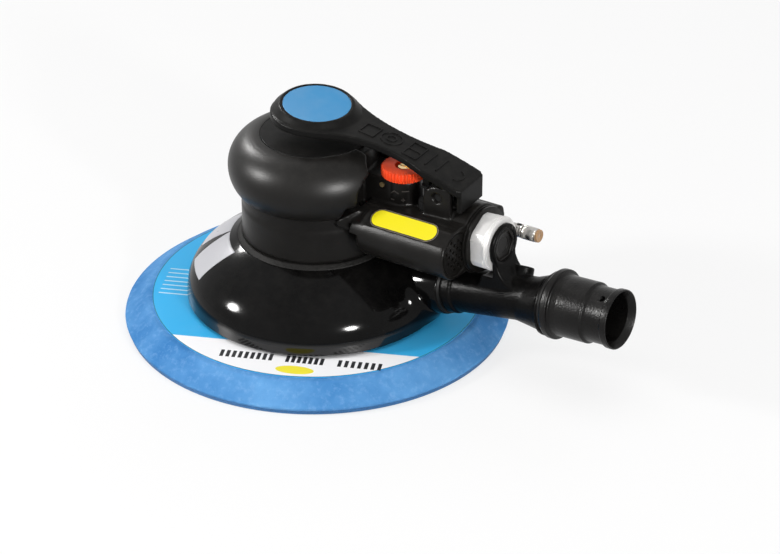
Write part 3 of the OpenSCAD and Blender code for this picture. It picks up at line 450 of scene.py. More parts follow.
cloths = {
    "hookBlue": {"colour": (0.050, 0.20, 0.46), "fibres": 2600.0},
    "fibreTan": {"colour": (0.60, 0.36, 0.18), "fibres": 1400.0},
    "feltTan": {"colour": (0.45, 0.36, 0.24), "fibres": 1400.0},
}
foamLook = {"deep": (0.040, 0.19, 0.47), "pale": (0.125, 0.34, 0.66), "bloom": (0.26, 0.47, 0.76),
            "clouds": 38.0, "specks": 420.0, "pores": 1500.0, "specular": 0.03}


def plasticMaterial(name, own):
    look = {**usualPlastic, **own}
    base = look["colour"]
    material, tree, surface = newMaterial(name)
    grain = useGroup(tree, "grain", Grain_Scale=look["grain"], Mottle_Scale=look["mottle"])
    wear = useGroup(tree, "wear", Amount=look["wear"])["Mask"]
    dust = useGroup(tree, "dust", Amount=look["dust"])["Mask"]
    colour = mixColour(tree, rangeNode(tree, grain["Mottle"], 0.3, 0.7), base, tinted(base, 1.35, 0.002))
    # edges lightened: partly wear, partly a painted highlight
    colour = mixColour(tree, wear, colour, tinted(base, 2.2, 0.03))
    colour = mixColour(tree, dust, colour, look["dustColour"])
    rough = rangeNode(tree, grain["Mottle"], 0.3, 0.7, *look["roughness"])
    rough = mathNode(tree, "ADD", rough, mathNode(tree, "MULTIPLY", dust, 0.5), True)
    dressSurface(tree, surface, colour, rough,
                 bumpNode(tree, grain["Height"], look["strength"], look["depth"]), look["specular"])
    if "lowGloss" in look:
        # the upright band at the foot mirrors the pad more clearly
        low = look["lowGloss"]
        level = rangeNode(tree, onlyZ(tree, objectPlace(tree)), low["from"] * mm, low["to"] * mm,
                          low["specular"], look["specular"])
        feed(tree, surface.inputs["Specular IOR Level"], level)
    return material


def metalMaterial(name, look):
    base = look["colour"]
    material, tree, surface = newMaterial(name)
    grain = useGroup(tree, "grain", Grain_Scale=1800.0, Mottle_Scale=120.0)
    scratch = useGroup(tree, "scratch", Amount=look["scratch"])["Mask"]
    colour = mixColour(tree, rangeNode(tree, grain["Mottle"], 0.3, 0.7), base, tinted(base, 0.82))
    colour = mixColour(tree, scratch, colour, tinted(base, 1.15))
    rough = rangeNode(tree, grain["Mottle"], 0.3, 0.7, *look["roughness"])
    rough = mathNode(tree, "ADD", rough, mathNode(tree, "MULTIPLY", scratch, 0.25), True)
    dressSurface(tree, surface, colour, rough, bumpNode(tree, grain["Height"], 0.15, 0.01), 0.5)
    surface.inputs["Metallic"].default_value = look["metal"]
    return material


def foamMaterial():
    # closed-cell blue foam: cloudy colour, small pores darkened with painted shade, and soft dents
    material, tree, surface = newMaterial("foamBlue")
    place = objectPlace(tree)
    cloud = noiseNode(tree, place, foamLook["clouds"], 5.0, 0.6)
    speck = noiseNode(tree, place, foamLook["specks"], 4.0, 0.7)
    pore = cellNode(tree, place, foamLook["pores"])
    colour = mixColour(tree, rangeNode(tree, cloud, 0.32, 0.68), foamLook["deep"], foamLook["pale"])
    colour = mixColour(tree, rangeNode(tree, speck, 0.5, 0.78, 0.0, 0.45), colour, foamLook["bloom"])
    # the pores take the deep blue: painted shade in their hollows
    colour = mixColour(tree, rangeNode(tree, pore, 0.0, 0.25, 0.35, 0.0), colour, foamLook["deep"])
    dents = bumpNode(tree, speck, 0.35, 0.15, bumpNode(tree, pore, 0.25, 0.06))
    rough = rangeNode(tree, speck, 0.3, 0.7, 0.62, 0.8)
    dressSurface(tree, surface, colour, rough, dents, foamLook["specular"])
    return material


def printMaterial(name, look):
    # printed film: nearly even colour with faint rubbed clouds and a slight gloss
    base, share, rough = look["colour"], look["mottle"], look["roughness"]
    material, tree, surface = newMaterial(name)
    mottle = useGroup(tree, "grain", Grain_Scale=1200.0, Mottle_Scale=55.0)["Mottle"]
    scratch = useGroup(tree, "scratch", Amount=0.15, Scratch_Scale=260.0)["Mask"]
    colour = mixColour(tree, rangeNode(tree, mottle, 0.35, 0.75), base, tinted(base, 1 - share, share * 0.5))
    colour = mixColour(tree, scratch, colour, tinted(base, 0.8, 0.1))
    dressSurface(tree, surface, colour, rangeNode(tree, mottle, 0.3, 0.7, rough - 0.06, rough + 0.08),
                 bumpNode(tree, mottle, 0.12, 0.1), 0.1)
    return material


def clothMaterial(name, look):
    # brushed hook face or felt: crossed fibres
    material, tree, surface = newMaterial(name)
    place = objectPlace(tree)
    fibre = noiseNode(tree, place, look["fibres"], 6.0, 0.75)
    cell = cellNode(tree, place, look["fibres"] * 0.8)
    colour = mixColour(tree, rangeNode(tree, fibre, 0.35, 0.65), tinted(look["colour"], 0.6), look["colour"])
    dressSurface(tree, surface, colour, rangeNode(tree, fibre, 0.3, 0.7, 0.8, 0.95),
                 bumpNode(tree, fibre, 0.6, 0.3, bumpNode(tree, cell, 0.6, 0.3)), 0.15)
    surface.inputs["Sheen Weight"].default_value = 0.3
    return material


materials = {"foamBlue": foamMaterial()}
for build, looks in ((plasticMaterial, plastics), (metalMaterial, metals), (printMaterial, prints),
                     (clothMaterial, cloths)):
    for name, look in looks.items():
        materials[name] = build(name, look)
print("materials are built")


# mesh helpers
def makeObject(name, mesh):
    item = bpy.data.objects.new(name, mesh)
    bpy.context.scene.collection.objects.link(item)
    return item


def meshFrom(name, points, faces, place, smooth=True):
    mesh = bpy.data.meshes.new(name)
    mesh.from_pydata([tuple(p) for p in points], [], [tuple(f) for f in faces])
    if place is not None:
        mesh.transform(place)
    mesh.transform(Matrix.Scale(mm, 4))
    mesh.polygons.foreach_set("use_smooth", [smooth] * len(mesh.polygons))
    mesh.update()
    return makeObject(name, mesh)


def roundedPath(points, steps=4):
    # points are (r, z) or (r, z, rounding); each rounded corner becomes a short arc
    path = []
    count = len(points)
    for i, point in enumerate(points):
        radius = point[2] if len(point) > 2 else 0.0
        here = Vector(point[:2])
        if radius <= 0:
            path.append(tuple(here))
            continue
        before = Vector(points[i - 1][:2]) - here
        after = Vector(points[(i + 1) % count][:2]) - here
        reach = min(radius / max(math.tan(before.angle(after) / 2), 1e-6),
                    before.length * 0.49, after.length * 0.49)
        a, b = here + before.normalized() * reach, here + after.normalized() * reach
        for k in range(steps + 1):
            t = k / steps
            path.append(tuple(a * (1 - t) ** 2 + here * 2 * t * (1 - t) + b * t ** 2))
    return path


def circle(radius, count):
    angles = [2 * math.pi * k / count for k in range(count)]
    return [(radius * math.cos(a), radius * math.sin(a)) for a in angles]


def arcPoints(cx, cy, rx, ry, start, end, steps):
    angles = [math.radians(start + (end - start) * k / steps) for k in range(steps + 1)]
    return [(cx + rx * math.cos(a), cy + ry * math.sin(a)) for a in angles]


def lathe(name, profile, place, segments=192):
    # turns a closed outline about Z; points on the axis become one pole each
    count = len(profile)
    points, rings = [], []
    for r, z in profile:
        if r < 1e-6:
            rings.append([len(points)] * segments)
            points.append((0, 0, z))
            continue
        rings.append(list(range(len(points), len(points) + segments)))
        points += [(x, y, z) for x, y in circle(r, segments)]
    faces = []
    for i in range(count):
        low, high = rings[i], rings[(i + 1) % count]
        for k in range(segments):
            n = (k + 1) % segments
            ring = [low[k], low[n], high[n], high[k]]
            face = [v for j, v in enumerate(ring) if v != ring[j - 1]]
            if len(set(face)) >= 3:
                faces.append(face)
    item = meshFrom(name, points, faces, place)
    fixNormals(item)
    return item


weld = {"own": 1e-7, "node": 2e-6}      # in metres: points closer than this become one


def fixNormals(item):
    # welds a closed mesh and turns all its faces outwards
    work = bmesh.new()
    work.from_mesh(item.data)
    bmesh.ops.remove_doubles(work, verts=work.verts, dist=weld["own"])
    bmesh.ops.recalc_face_normals(work, faces=work.faces)
    if work.calc_volume(signed=True) < 0:
        bmesh.ops.reverse_faces(work, faces=work.faces)
    work.to_mesh(item.data)
    work.free()


def baked(item):
    # applies what the modifiers give and takes them off
    graph = bpy.context.evaluated_depsgraph_get()
    graph.update()
    mesh = bpy.data.meshes.new_from_object(item.evaluated_get(graph))
    item.modifiers.clear()
    old = item.data
    item.data = mesh
    mesh.name = item.name
    if old.users == 0:
        bpy.data.meshes.remove(old)
    return item


def weldedCopy(node, name, dissolve=False):
    # a CAD node's loose triangles made one mesh, with its flat faces whole where edges get a bevel
    item = makeObject(name, frame["nodes"][node].data.copy())
    item.data.name = name
    item.data.materials.clear()
    work = bmesh.new()
    work.from_mesh(item.data)
    bmesh.ops.remove_doubles(work, verts=work.verts, dist=weld["node"])
    if dissolve:
        bmesh.ops.dissolve_limit(work, angle_limit=math.radians(1.0), verts=work.verts, edges=work.edges)
    work.to_mesh(item.data)
    work.free()
    return item


def cutWith(item, tool, kind="DIFFERENCE"):
    cut = item.modifiers.new("cut", "BOOLEAN")
    cut.operation = kind
    cut.solver = "EXACT"
    cut.object = tool
    baked(item)
    bpy.data.objects.remove(tool)


def remeshed(item, voxel, rounds):
    # even small faces all over, then rounds of smoothing that soften the edges
    step = item.modifiers.new("remesh", "REMESH")
    step.mode = "VOXEL"
    step.voxel_size = voxel * mm
    step.use_smooth_shade = True
    soft = item.modifiers.new("soften", "SMOOTH")
    soft.factor = 0.5
    soft.iterations = rounds
    baked(item)


def thinned(item, limit):
    # keeps a fine mesh under its triangle limit
    triangles = sum(len(p.vertices) - 2 for p in item.data.polygons)
    if triangles > limit:
        step = item.modifiers.new("thin", "DECIMATE")
        step.ratio = limit / triangles
        baked(item)
        setAll(item, "use_smooth", True)


def setAll(item, key, value):
    # the same value for every face
    item.data.polygons.foreach_set(key, [value] * len(item.data.polygons))


def smoothEdges(item, angle):
    setAll(item, "use_smooth", True)
    item.data.set_sharp_from_angle(angle=math.radians(angle))
    return item


def bevelled(item, width, segments=2, angle=30.0):
    step = item.modifiers.new("edges", "BEVEL")
    step.width = width * mm
    step.segments = segments
    step.limit_method = "ANGLE"
    step.angle_limit = math.radians(angle)
    step.harden_normals = False
    baked(item)
    return smoothEdges(item, 40.0)


def snapRound(item, place, radius, reach, ends):
    # puts near vertices exactly on a cylinder about place's Z axis, so that highlights run clean
    count = len(item.data.vertices)
    co = np.empty(count * 3)
    item.data.vertices.foreach_get("co", co)
    co = co.reshape(-1, 3)
    m = np.array(place)
    local = (co / mm - m[:3, 3]) @ m[:3, :3]
    distance = np.hypot(local[:, 0], local[:, 1])
    near = (np.abs(distance - radius) < reach) & (local[:, 2] > ends[0]) & (local[:, 2] < ends[1])
    local[near, :2] *= (radius / distance[near])[:, None]
    co = (local @ m[:3, :3].T + m[:3, 3]) * mm
    item.data.vertices.foreach_set("co", co.ravel())
    item.data.update()


def paint(item, material):
    item.data.materials.clear()
    item.data.materials.append(materials[material])
    setAll(item, "material_index", 0)


def attach(item, body, slot, *nodes):
    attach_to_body(item, body)
    if nodes:
        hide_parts(*nodes)


def finishPiece(item, material, body, slot, *nodes):
    paint(item, material)
    attach(item, body, slot, *nodes)


def joinMeshes(name, items):
    work = bmesh.new()
    for item in items:
        work.from_mesh(item.data)
    mesh = bpy.data.meshes.new(name)
    work.to_mesh(mesh)
    work.free()
    for item in items:
        bpy.data.objects.remove(item)
    return makeObject(name, mesh)


def joinPainted(name, parts):
    # one object from several, each with its own material
    names = []
    for item, material in parts:
        if material not in names:
            names.append(material)
        item.data.materials.clear()
        setAll(item, "material_index", names.index(material))
    whole = joinMeshes(name, [item for item, material in parts])
    for material in names:
        whole.data.materials.append(materials[material])
    return whole


def slab(name, outline, low, high, place):
    # a flat plate from an outline, closed on all sides
    count = len(outline)
    points = [(x, y, low) for x, y in outline] + [(x, y, high) for x, y in outline]
    faces = [list(range(count))[::-1], list(range(count, 2 * count))]
    faces += [(i, (i + 1) % count, (i + 1) % count + count, i + count) for i in range(count)]
    item = meshFrom(name, points, faces, place, smooth=False)
    fixNormals(item)
    return item


def rod(name, radius, low, high, place, segments=64):
    return slab(name, circle(radius, segments), low, high, place)


def block(name, low, high, place):
    # a box between two corners
    outline = [(low[0], low[1]), (high[0], low[1]), (high[0], high[1]), (low[0], high[1])]
    return slab(name, outline, low[2], high[2], place)


# geometry node trees
class NodeTree:
    # a small builder: named inputs with values, nodes and links in one place
    def __init__(self, name, inputs):
        self.tree = bpy.data.node_groups.new(name, "GeometryNodeTree")
        self.tree.interface.new_socket("Geometry", in_out="INPUT", socket_type="NodeSocketGeometry")
        kinds = {float: "NodeSocketFloat", int: "NodeSocketInt"}
        self.ids = {}
        for label, value in inputs.items():
            socket = self.tree.interface.new_socket(label, in_out="INPUT", socket_type=kinds[type(value)])
            socket.default_value = value
            self.ids[label] = socket.identifier
        self.tree.interface.new_socket("Geometry", in_out="OUTPUT", socket_type="NodeSocketGeometry")
        self.start = self.tree.nodes.new("NodeGroupInput")
        self.end = self.tree.nodes.new("NodeGroupOutput")

    def add(self, kind, links=(), **settings):
        node = self.tree.nodes.new(kind)
        for key, value in settings.items():
            setattr(node, key, value)
        for socket, value in links:
            feed(self.tree, node.inputs[socket], value)
        return node

    def calc(self, kind, *values):
        return self.add("ShaderNodeMath", list(enumerate(values)), operation=kind).outputs[0]

    def vector(self, *values):
        return self.add("ShaderNodeCombineXYZ", list(enumerate(values))).outputs[0]

    def place(self):
        # X, Y and Z of each point
        spot = self.add("GeometryNodeInputPosition").outputs[0]
        return self.add("ShaderNodeSeparateXYZ", [(0, spot)]).outputs

    def close(self, geometry, material):
        real = self.add("GeometryNodeRealizeInstances", [(0, geometry)])
        paint = self.add("GeometryNodeSetMaterial", [(0, real.outputs[0])])
        paint.inputs["Material"].default_value = materials[material]
        self.tree.links.new(paint.outputs[0], self.end.inputs[0])


def growTree(name, builder, values, place):
    # runs a tree on an empty mesh and returns the plain result, in place
    item = makeObject(name, bpy.data.meshes.new(name))
    step = item.modifiers.new("build", "NODES")
    step.node_group = builder.tree
    for label, value in values.items():
        step[builder.ids[label]] = value
    baked(item)
    item.data.transform(Matrix.Scale(mm, 4) @ place)
    fixNormals(item)
    return item


def ridgedRingTree(name, material):
    # a ring whose outer wall carries even ridges, with chamfered rims; it is a grid, rolled up, whose
    # rows follow the section: bore, rim, ridges, rim and back to the bore
    build = NodeTree(name, {"Radius": 8.0, "Bore": 3.0, "Height": 3.0, "Ridges": 36, "Depth": 0.5,
                            "Chamfer": 0.4, "Per Ridge": 8})
    s = build.start.outputs
    rows = 9
    around = build.calc("MULTIPLY", s["Ridges"], s["Per Ridge"])
    grid = build.add("GeometryNodeMeshGrid", [("Size X", 1.0), ("Size Y", 1.0), ("Vertices X", around),
                                              ("Vertices Y", rows)])
    spot = build.place()
    u = build.calc("ADD", spot[0], 0.5)
    v = build.calc("MULTIPLY", build.calc("ADD", spot[1], 0.5), rows - 1.0)
    step = build.calc("DIVIDE", build.calc("SUBTRACT", around, 1.0), around)
    angle = build.calc("MULTIPLY", build.calc("MULTIPLY", u, step), 2 * math.pi)
    turns = build.calc("COSINE", build.calc("MULTIPLY", angle, s["Ridges"]))
    wave = build.calc("MULTIPLY", build.calc("SUBTRACT", turns, 1.0), 0.5)
    bumpy = build.calc("ADD", s["Radius"], build.calc("MULTIPLY", wave, s["Depth"]))
    chamfered = build.calc("SUBTRACT", s["Radius"], s["Chamfer"])
    rim = build.calc("MINIMUM", bumpy, chamfered)

    def pick(values):
        # a value for each row, chosen by the row number
        total = None
        for row, value in enumerate(values):
            part = build.calc("MULTIPLY", build.calc("COMPARE", v, float(row), 0.3), value)
            total = part if total is None else build.calc("ADD", total, part)
        return total

    low = s["Chamfer"]
    high = build.calc("SUBTRACT", s["Height"], s["Chamfer"])
    radius = pick([s["Bore"], rim, bumpy, bumpy, bumpy, bumpy, rim, s["Bore"], s["Bore"]])
    height = pick([0.0, 0.0, low, low, high, high, s["Height"], s["Height"], 0.0])
    x = build.calc("MULTIPLY", radius, build.calc("COSINE", angle))
    y = build.calc("MULTIPLY", radius, build.calc("SINE", angle))
    moved = build.add("GeometryNodeSetPosition", [("Geometry", grid.outputs[0]),
                                                  ("Position", build.vector(x, y, height))])
    build.close(moved.outputs[0], material)
    return build


def closeRing(item):
    # joins the seam of a grid that was rolled into a ring
    work = bmesh.new()
    work.from_mesh(item.data)
    seam = [edge for edge in work.edges if edge.is_boundary]
    if seam:
        bmesh.ops.bridge_loops(work, edges=seam)
    work.to_mesh(item.data)
    work.free()


def ridgedRing(name, material, place, values):
    item = growTree(name, ridgedRingTree(name + "Tree", material), values, place)
    closeRing(item)
    fixNormals(item)
    return smoothEdges(item, 50.0)


print("helpers are ready")


# pad
pad = {"radius": 74.75, "rimZ": 2.4, "topRadius": 65.5, "height": 9.5, "hook": 1.2, "plateRadius": 58.0,
       "plateZ": 5.5, "washerRadius": 11, "washer": 1.5, "holeRadius": 5.0, "holeCircle": 40.0, "holes": 6,
       "through": (-1, 20), "rows": 22, "dentRadius": 66.0, "dentTop": 9.4, "dents": 70.0,
       "dentDepth": 0.10}


def padHoles():
    holes = []
    for k in range(pad["holes"]):
        angle = 2 * math.pi * (k + 0.5) / pad["holes"]
        spot = shifted(pad["holeCircle"] * math.cos(angle), pad["holeCircle"] * math.sin(angle), 0)
        holes.append(rod("hole", pad["holeRadius"], *pad["through"], spot))
    return joinMeshes("holes", holes)


def makeFoam():
    # the sloped side has rows of its own, so that its soft dents show
    p = pad
    side = [(p["radius"] - 0.4, p["rimZ"] + 0.7), (p["topRadius"] + 0.6, p["height"] - 0.3)]
    between = [tuple(Vector(side[0]).lerp(Vector(side[1]), k / p["rows"])) for k in range(1, p["rows"])]
    outline = [(0, p["hook"]), (p["radius"] - 1, p["hook"], 0.5), (p["radius"], p["rimZ"], 0.6),
               (*side[0], 0.4)] + between
    outline += [(*side[1], 0.5), (p["topRadius"] - 0.4, p["height"], 0.3), (p["plateRadius"], p["height"]),
                (p["plateRadius"], p["plateZ"]), (p["washerRadius"], p["plateZ"]),
                (p["washerRadius"], p["plateZ"] - p["washer"]), (0, p["plateZ"] - p["washer"])]
    foam = lathe("padFoam", roundedPath(outline), None, 360)
    for vertex in foam.data.vertices:
        r = math.hypot(vertex.co.x, vertex.co.y)
        if r < p["dentRadius"] * mm or vertex.co.z > p["dentTop"] * mm:
            continue
        soft = noise.noise(vertex.co * p["dents"]) + 0.5 * noise.noise(vertex.co * 3 * p["dents"])
        vertex.co.xy *= 1 + (soft - 0.6) * p["dentDepth"] * mm / r
    cutWith(foam, padHoles())
    smoothEdges(foam, 40)
    finishPiece(foam, "foamBlue", "pad", slots["pad_foam"], "pad_foam")


# the printed ring: a white field under a chord, its dark edge, an oval, plain bars and plain lines
label = {"outer": 63.8, "inner": 47.0, "low": 9.5, "high": 9.8, "turn": 25.83, "chord": 42.53, "edge": 0.35,
         "innerEdge": 0.3, "sink": 0.05, "film": 0.02, "oval": (3.3, -59.2, 7.2, 2.7)}
labelBars = {"groups": [(-26.4, -6.4), (-1.4, 12.9), (18.2, 34.6)], "low": -54.3, "high": -49.8,
             "pitch": 2.35, "width": 1.35, "inset": 0.7}
labelLines = {"count": 7, "pitch": 3.1, "start": -60.0, "end": -40.0, "top": 5.4, "width": 0.75}


def rowTree(name, material):
    # evenly spaced plain bars along X
    build = NodeTree(name, {"Count": 5, "Pitch": 3.0, "Width": 1.5, "Length": 5.0, "Thickness": 0.03})
    s = build.start.outputs
    line = build.add("GeometryNodeMeshLine", [("Count", s["Count"]), ("Offset", build.vector(s["Pitch"]))])
    cube = build.add("GeometryNodeMeshCube",
                     [("Size", build.vector(s["Width"], s["Length"], s["Thickness"]))])
    copies = build.add("GeometryNodeInstanceOnPoints", [("Points", line.outputs[0]),
                                                        ("Instance", cube.outputs[0])])
    build.close(copies.outputs[0], material)
    return build


def labelField(radius, innerRadius, chord):
    # the part of the ring beyond a chord
    half = math.degrees(math.acos(chord / radius))
    inner = math.degrees(math.acos(chord / innerRadius))
    return (arcPoints(0, 0, radius, radius, -90 - half, -90 + half, 90)
            + arcPoints(0, 0, innerRadius, innerRadius, -90 + inner, -90 - inner, 40))


def makeLabel():
    turn = turned(label["turn"], "Z")
    outer, inner, low, top = label["outer"], label["inner"], label["low"], label["high"]
    film, base = label["film"], top - label["sink"]
    edge = outer - label["edge"]
    section = roundedPath([(inner, low), (outer, low), (outer, top, 0.1), (inner, top)])
    rim = [(edge, base), (outer - 0.02, base), (outer - 0.05, top + film), (edge, top + film)]
    field = labelField(edge, inner + label["innerEdge"], label["chord"])
    oval = arcPoints(*label["oval"], 0, 354, 59)
    parts = [(lathe("ring", section, None, 360), "labelBlue"),
             (slab("whiteField", field, base, top + film, turn), "labelWhite"),
             (slab("oval", oval, top, top + 2 * film, turn), "labelYellow"),
             (lathe("edgeLine", rim, None, 360), "labelEdge")]
    bars = rowTree("barRow", "labelInk")
    middle = (labelBars["low"] + labelBars["high"]) / 2
    for start, end in labelBars["groups"]:
        count = int((end - start) / labelBars["pitch"]) + 1
        place = turn @ shifted(start + labelBars["inset"], middle, top + 2 * film)
        values = {"Count": count, "Pitch": (end - start - 2 * labelBars["inset"]) / max(count - 1, 1),
                  "Width": labelBars["width"], "Length": labelBars["high"] - labelBars["low"],
                  "Thickness": film}
        parts.append((growTree("bars", bars, values, place), "labelInk"))
    lines = rowTree("lineRow", "labelPale")
    middle = (labelLines["start"] + labelLines["end"]) / 2
    place = turn @ shifted(middle, labelLines["top"], top + film) @ turned(-90, "Z")
    values = {"Count": labelLines["count"], "Pitch": labelLines["pitch"], "Width": labelLines["width"],
              "Length": labelLines["end"] - labelLines["start"], "Thickness": film}
    parts.append((growTree("lines", lines, values, place), "labelPale"))
    whole = joinPainted("padLabel", parts)
    smoothEdges(whole, 30)
    attach(whole, "pad", slots["pad_label"], "pad_label")


# dust shroud
shroud = {"rim": 50.4, "rimZ": 10.8, "band": 15.4, "bandRadius": 50.0, "top": 36.0, "topRadius": 30.2,
          "bore": 26.0, "rows": 56, "bandRows": 8, "draft": 0.25, "segments": 512,
          "innerRadius": 47.8, "innerTop": 32.2, "innerTopRadius": 24.5, "innerShare": 0.967,
          "innerRows": 20, "under": 9.0, "boreEnds": (25, 60),
          "stub": 10.2, "stubEnds": (-24.0, 0), "duct": 7.0, "ductEnds": (-30, 5)}
# the outer wall is drawn out to meet the duct's stub: which stretch of the wall moves, how wide the blend
# is, and how far a point goes freely before its way is held back softly
fairing = {"low": 0.9, "high": 0.5, "startX": 25, "near": 0.6, "far": 7.0, "blend": 9.0, "halvings": 22,
           "free": 1.8, "soft": 2.2}


def shroudRadius(z):
    t = min(max((z - shroud["band"]) / (shroud["top"] - shroud["band"]), 0.0), 1.0)
    return shroud["bandRadius"] - (shroud["bandRadius"] - shroud["topRadius"]) * t * t


def smoothMin(a, b, k):
    h = max(k - abs(a - b), 0.0) / k
    return min(a, b) - h * h * k / 4


def drawOut(point, outward):
    # how far a point of the wall goes out until it lies on the blend of wall and stub
    foot = tubePlace.translation
    axis = (tubePlace @ Vector((0, 0, 1)) - foot).normalized()

    def gap(t):
        away = point + outward * t - foot
        aside = (away - axis * away.dot(axis)).length - shroud["stub"]
        return smoothMin(t, aside, fairing["blend"])

    if gap(0.0) > -1e-4:
        return 0.0
    low, high = 0.0, fairing["far"]
    for _ in range(fairing["halvings"]):
        middle = (low + high) / 2
        if gap(middle) < 0:
            low = middle
        else:
            high = middle
    if low < fairing["free"]:
        return low
    return fairing["free"] + fairing["soft"] * math.tanh((low - fairing["free"]) / fairing["soft"])


def addFairing(body):
    centre = motorPlace.translation
    rise = shroud["top"] - shroud["band"]
    for vertex in body.data.vertices:
        p = vertex.co / mm
        flat = Vector((p.x - centre.x, p.y - centre.y, 0))
        outside = p.z < shroud["rimZ"] + fairing["low"] or p.z > shroud["top"] - fairing["high"]
        if outside or flat.x < fairing["startX"] or abs(flat.length - shroudRadius(p.z)) > fairing["near"]:
            continue
        slope = 2 * (shroud["bandRadius"] - shroud["topRadius"]) * max(p.z - shroud["band"], 0) / rise ** 2
        outward = (flat.normalized() + Vector((0, 0, slope))).normalized()
        reach = drawOut(p, outward)
        if reach > 0:
            vertex.co = (p + outward * reach) * mm


def makeShroud():
    s = shroud
    foot, steps, rows = s["rimZ"] + 0.6, s["bandRows"], s["rows"]
    band = [(s["rim"] - 0.6, s["rimZ"], 0.3), (s["rim"], foot, 0.5)]
    band += [(s["rim"] - s["draft"] * k / steps, foot + (s["band"] - s["rimZ"] - 1.0) * k / steps)
             for k in range(1, steps)]
    levels = [s["band"] + (s["top"] - s["band"]) * k / rows for k in range(rows + 1)]
    outer = [(shroudRadius(z), z) for z in levels]
    shares = [s["innerShare"] * k / s["innerRows"] for k in range(s["innerRows"], -1, -1)]
    inner = [(s["innerRadius"] - (s["innerRadius"] - s["innerTopRadius"]) * t * t,
              s["band"] + (s["innerTop"] - s["band"]) * t) for t in shares]
    outline = band + outer + [(s["bore"], s["top"])] + inner + [(s["innerRadius"], s["rimZ"])]
    body = lathe("dustShroud", roundedPath(outline), motorPlace, s["segments"])
    addFairing(body)
    stub = rod("stub", s["stub"], *s["stubEnds"], tubePlace, 128)
    cutWith(body, bevelled(stub, 0.5, 3), kind="UNION")
    chamber = [(0, s["under"]), (s["innerRadius"], s["under"])] + inner[::-1] + [(0, inner[0][1])]
    cutWith(body, lathe("well", chamber, motorPlace))
    cutWith(body, rod("bore", s["bore"], *s["boreEnds"], motorPlace, 192))
    cutWith(body, rod("duct", s["duct"], *s["ductEnds"], tubePlace, 96))
    smoothEdges(body, 38)
    finishPiece(body, "shroudGloss", "housing", slots["dust_shroud"], "dust_shroud")


# each sticker's angle and lower edge, and the sizes that both share
sticker = {"places": ((225, 23.5), (196, 25.6)), "width": 16.0, "high": 34.3, "thickness": 0.18,
           "lift": 0.02, "waves": 0.03, "columns": 30, "rows": 20}


def stickerPoints(angle, low):
    # two layers of a grid that follows the dome, the outer one faintly wavy
    points = []
    for layer in (0.0, sticker["thickness"]):
        for j in range(sticker["rows"] + 1):
            z = low + (sticker["high"] - low) * j / sticker["rows"]
            r = shroudRadius(z) + sticker["lift"]
            for i in range(sticker["columns"] + 1):
                y = sticker["width"] * (i / sticker["columns"] - 0.5)
                lift = sticker["waves"] * noise.noise(Vector((y * 0.5, z * 0.6, angle))) + sticker["lift"]
                reach = r + layer + lift * (1 if layer else 0)
                a = math.radians(angle) + math.asin(y / reach)
                points.append((reach * math.cos(a), reach * math.sin(a), z))
    return points


def stickerFaces():
    across, down = sticker["columns"] + 1, sticker["rows"] + 1
    faces = []
    for layer in range(2):
        for j in range(down - 1):
            for i in range(across - 1):
                a = layer * across * down + j * across + i
                faces.append((a, a + 1, a + across + 1, a + across))
    rim = ([i for i in range(across)] + [j * across + across - 1 for j in range(1, down)]
           + [(down - 1) * across + i for i in range(across - 2, -1, -1)]
           + [j * across for j in range(down - 2, 0, -1)])
    for k, a in enumerate(rim):
        b = rim[(k + 1) % len(rim)]
        faces.append((a, b, b + across * down, a + across * down))
    return faces


def makeShroudStickers():
    items = [meshFrom("sticker", stickerPoints(*place), stickerFaces(), motorPlace)
             for place in sticker["places"]]
    for item in items:
        fixNormals(item)
    whole = joinMeshes("shroudStickers", items)
    smoothEdges(whole, 40)
    finishPiece(whole, "stickerSilver", "housing", slots["shroud_stickers"], "shroud_stickers")


# motor housing, grip and cap
# fill is a rod's radius, start and end; each round wall has its axis, radius, how far off its points may
# lie, and where it starts and ends: the neck, the waist above it, the dial's boss and the silencer lobe
housing = {"voxel": 0.45, "rounds": 6, "limit": 188000, "fill": (2.4, 46, 69.9),
           "walls": [(motorPlace, 28.3, 0.35, (38.0, 51.0)), (motorPlace, 28.12, 0.45, (51.0, 56.2)),
                     (dialPlace, 7.0, 0.15, (61.0, 69.5)), (lobePlace, 9.5, 0.25, (34.0, 69.2))]}


def makeHousing():
    h = housing
    body = weldedCopy("motor_housing", "motorHousing")
    # the inlet's bore is filled, so that its thin wall stays whole
    cutWith(body, rod("fill", *h["fill"], nipplePlace, 48), kind="UNION")
    remeshed(body, h["voxel"], h["rounds"])
    for wall in h["walls"]:
        snapRound(body, *wall)
    thinned(body, h["limit"])
    finishPiece(body, "housingBlack", "housing", slots["motor_housing"], "motor_housing")


# the grip is a ring of round section; pocket, gate and step clear the dial, and hollow and bay clear
# the silencer lobe and the valve block
grip = {"radius": 33.0, "capRadius": 20.5, "low": 56.4, "middle": 66.0, "top": 78.6, "lowCurve": 13.8,
        "roof": 77.6, "core": 24.4, "under": 40, "over": 95, "pocket": 14.0, "gate": 60,
        "step": (18.0, 7.0), "bay": ((20, -17.4, -20), (80, 24.8, 11.4)),
        "hollow": {"radius": 8.6, "height": 64.0, "start": 20.4, "end": 60, "aside": 2.3},
        "voxel": 0.42, "rounds": 8, "limit": 188000}


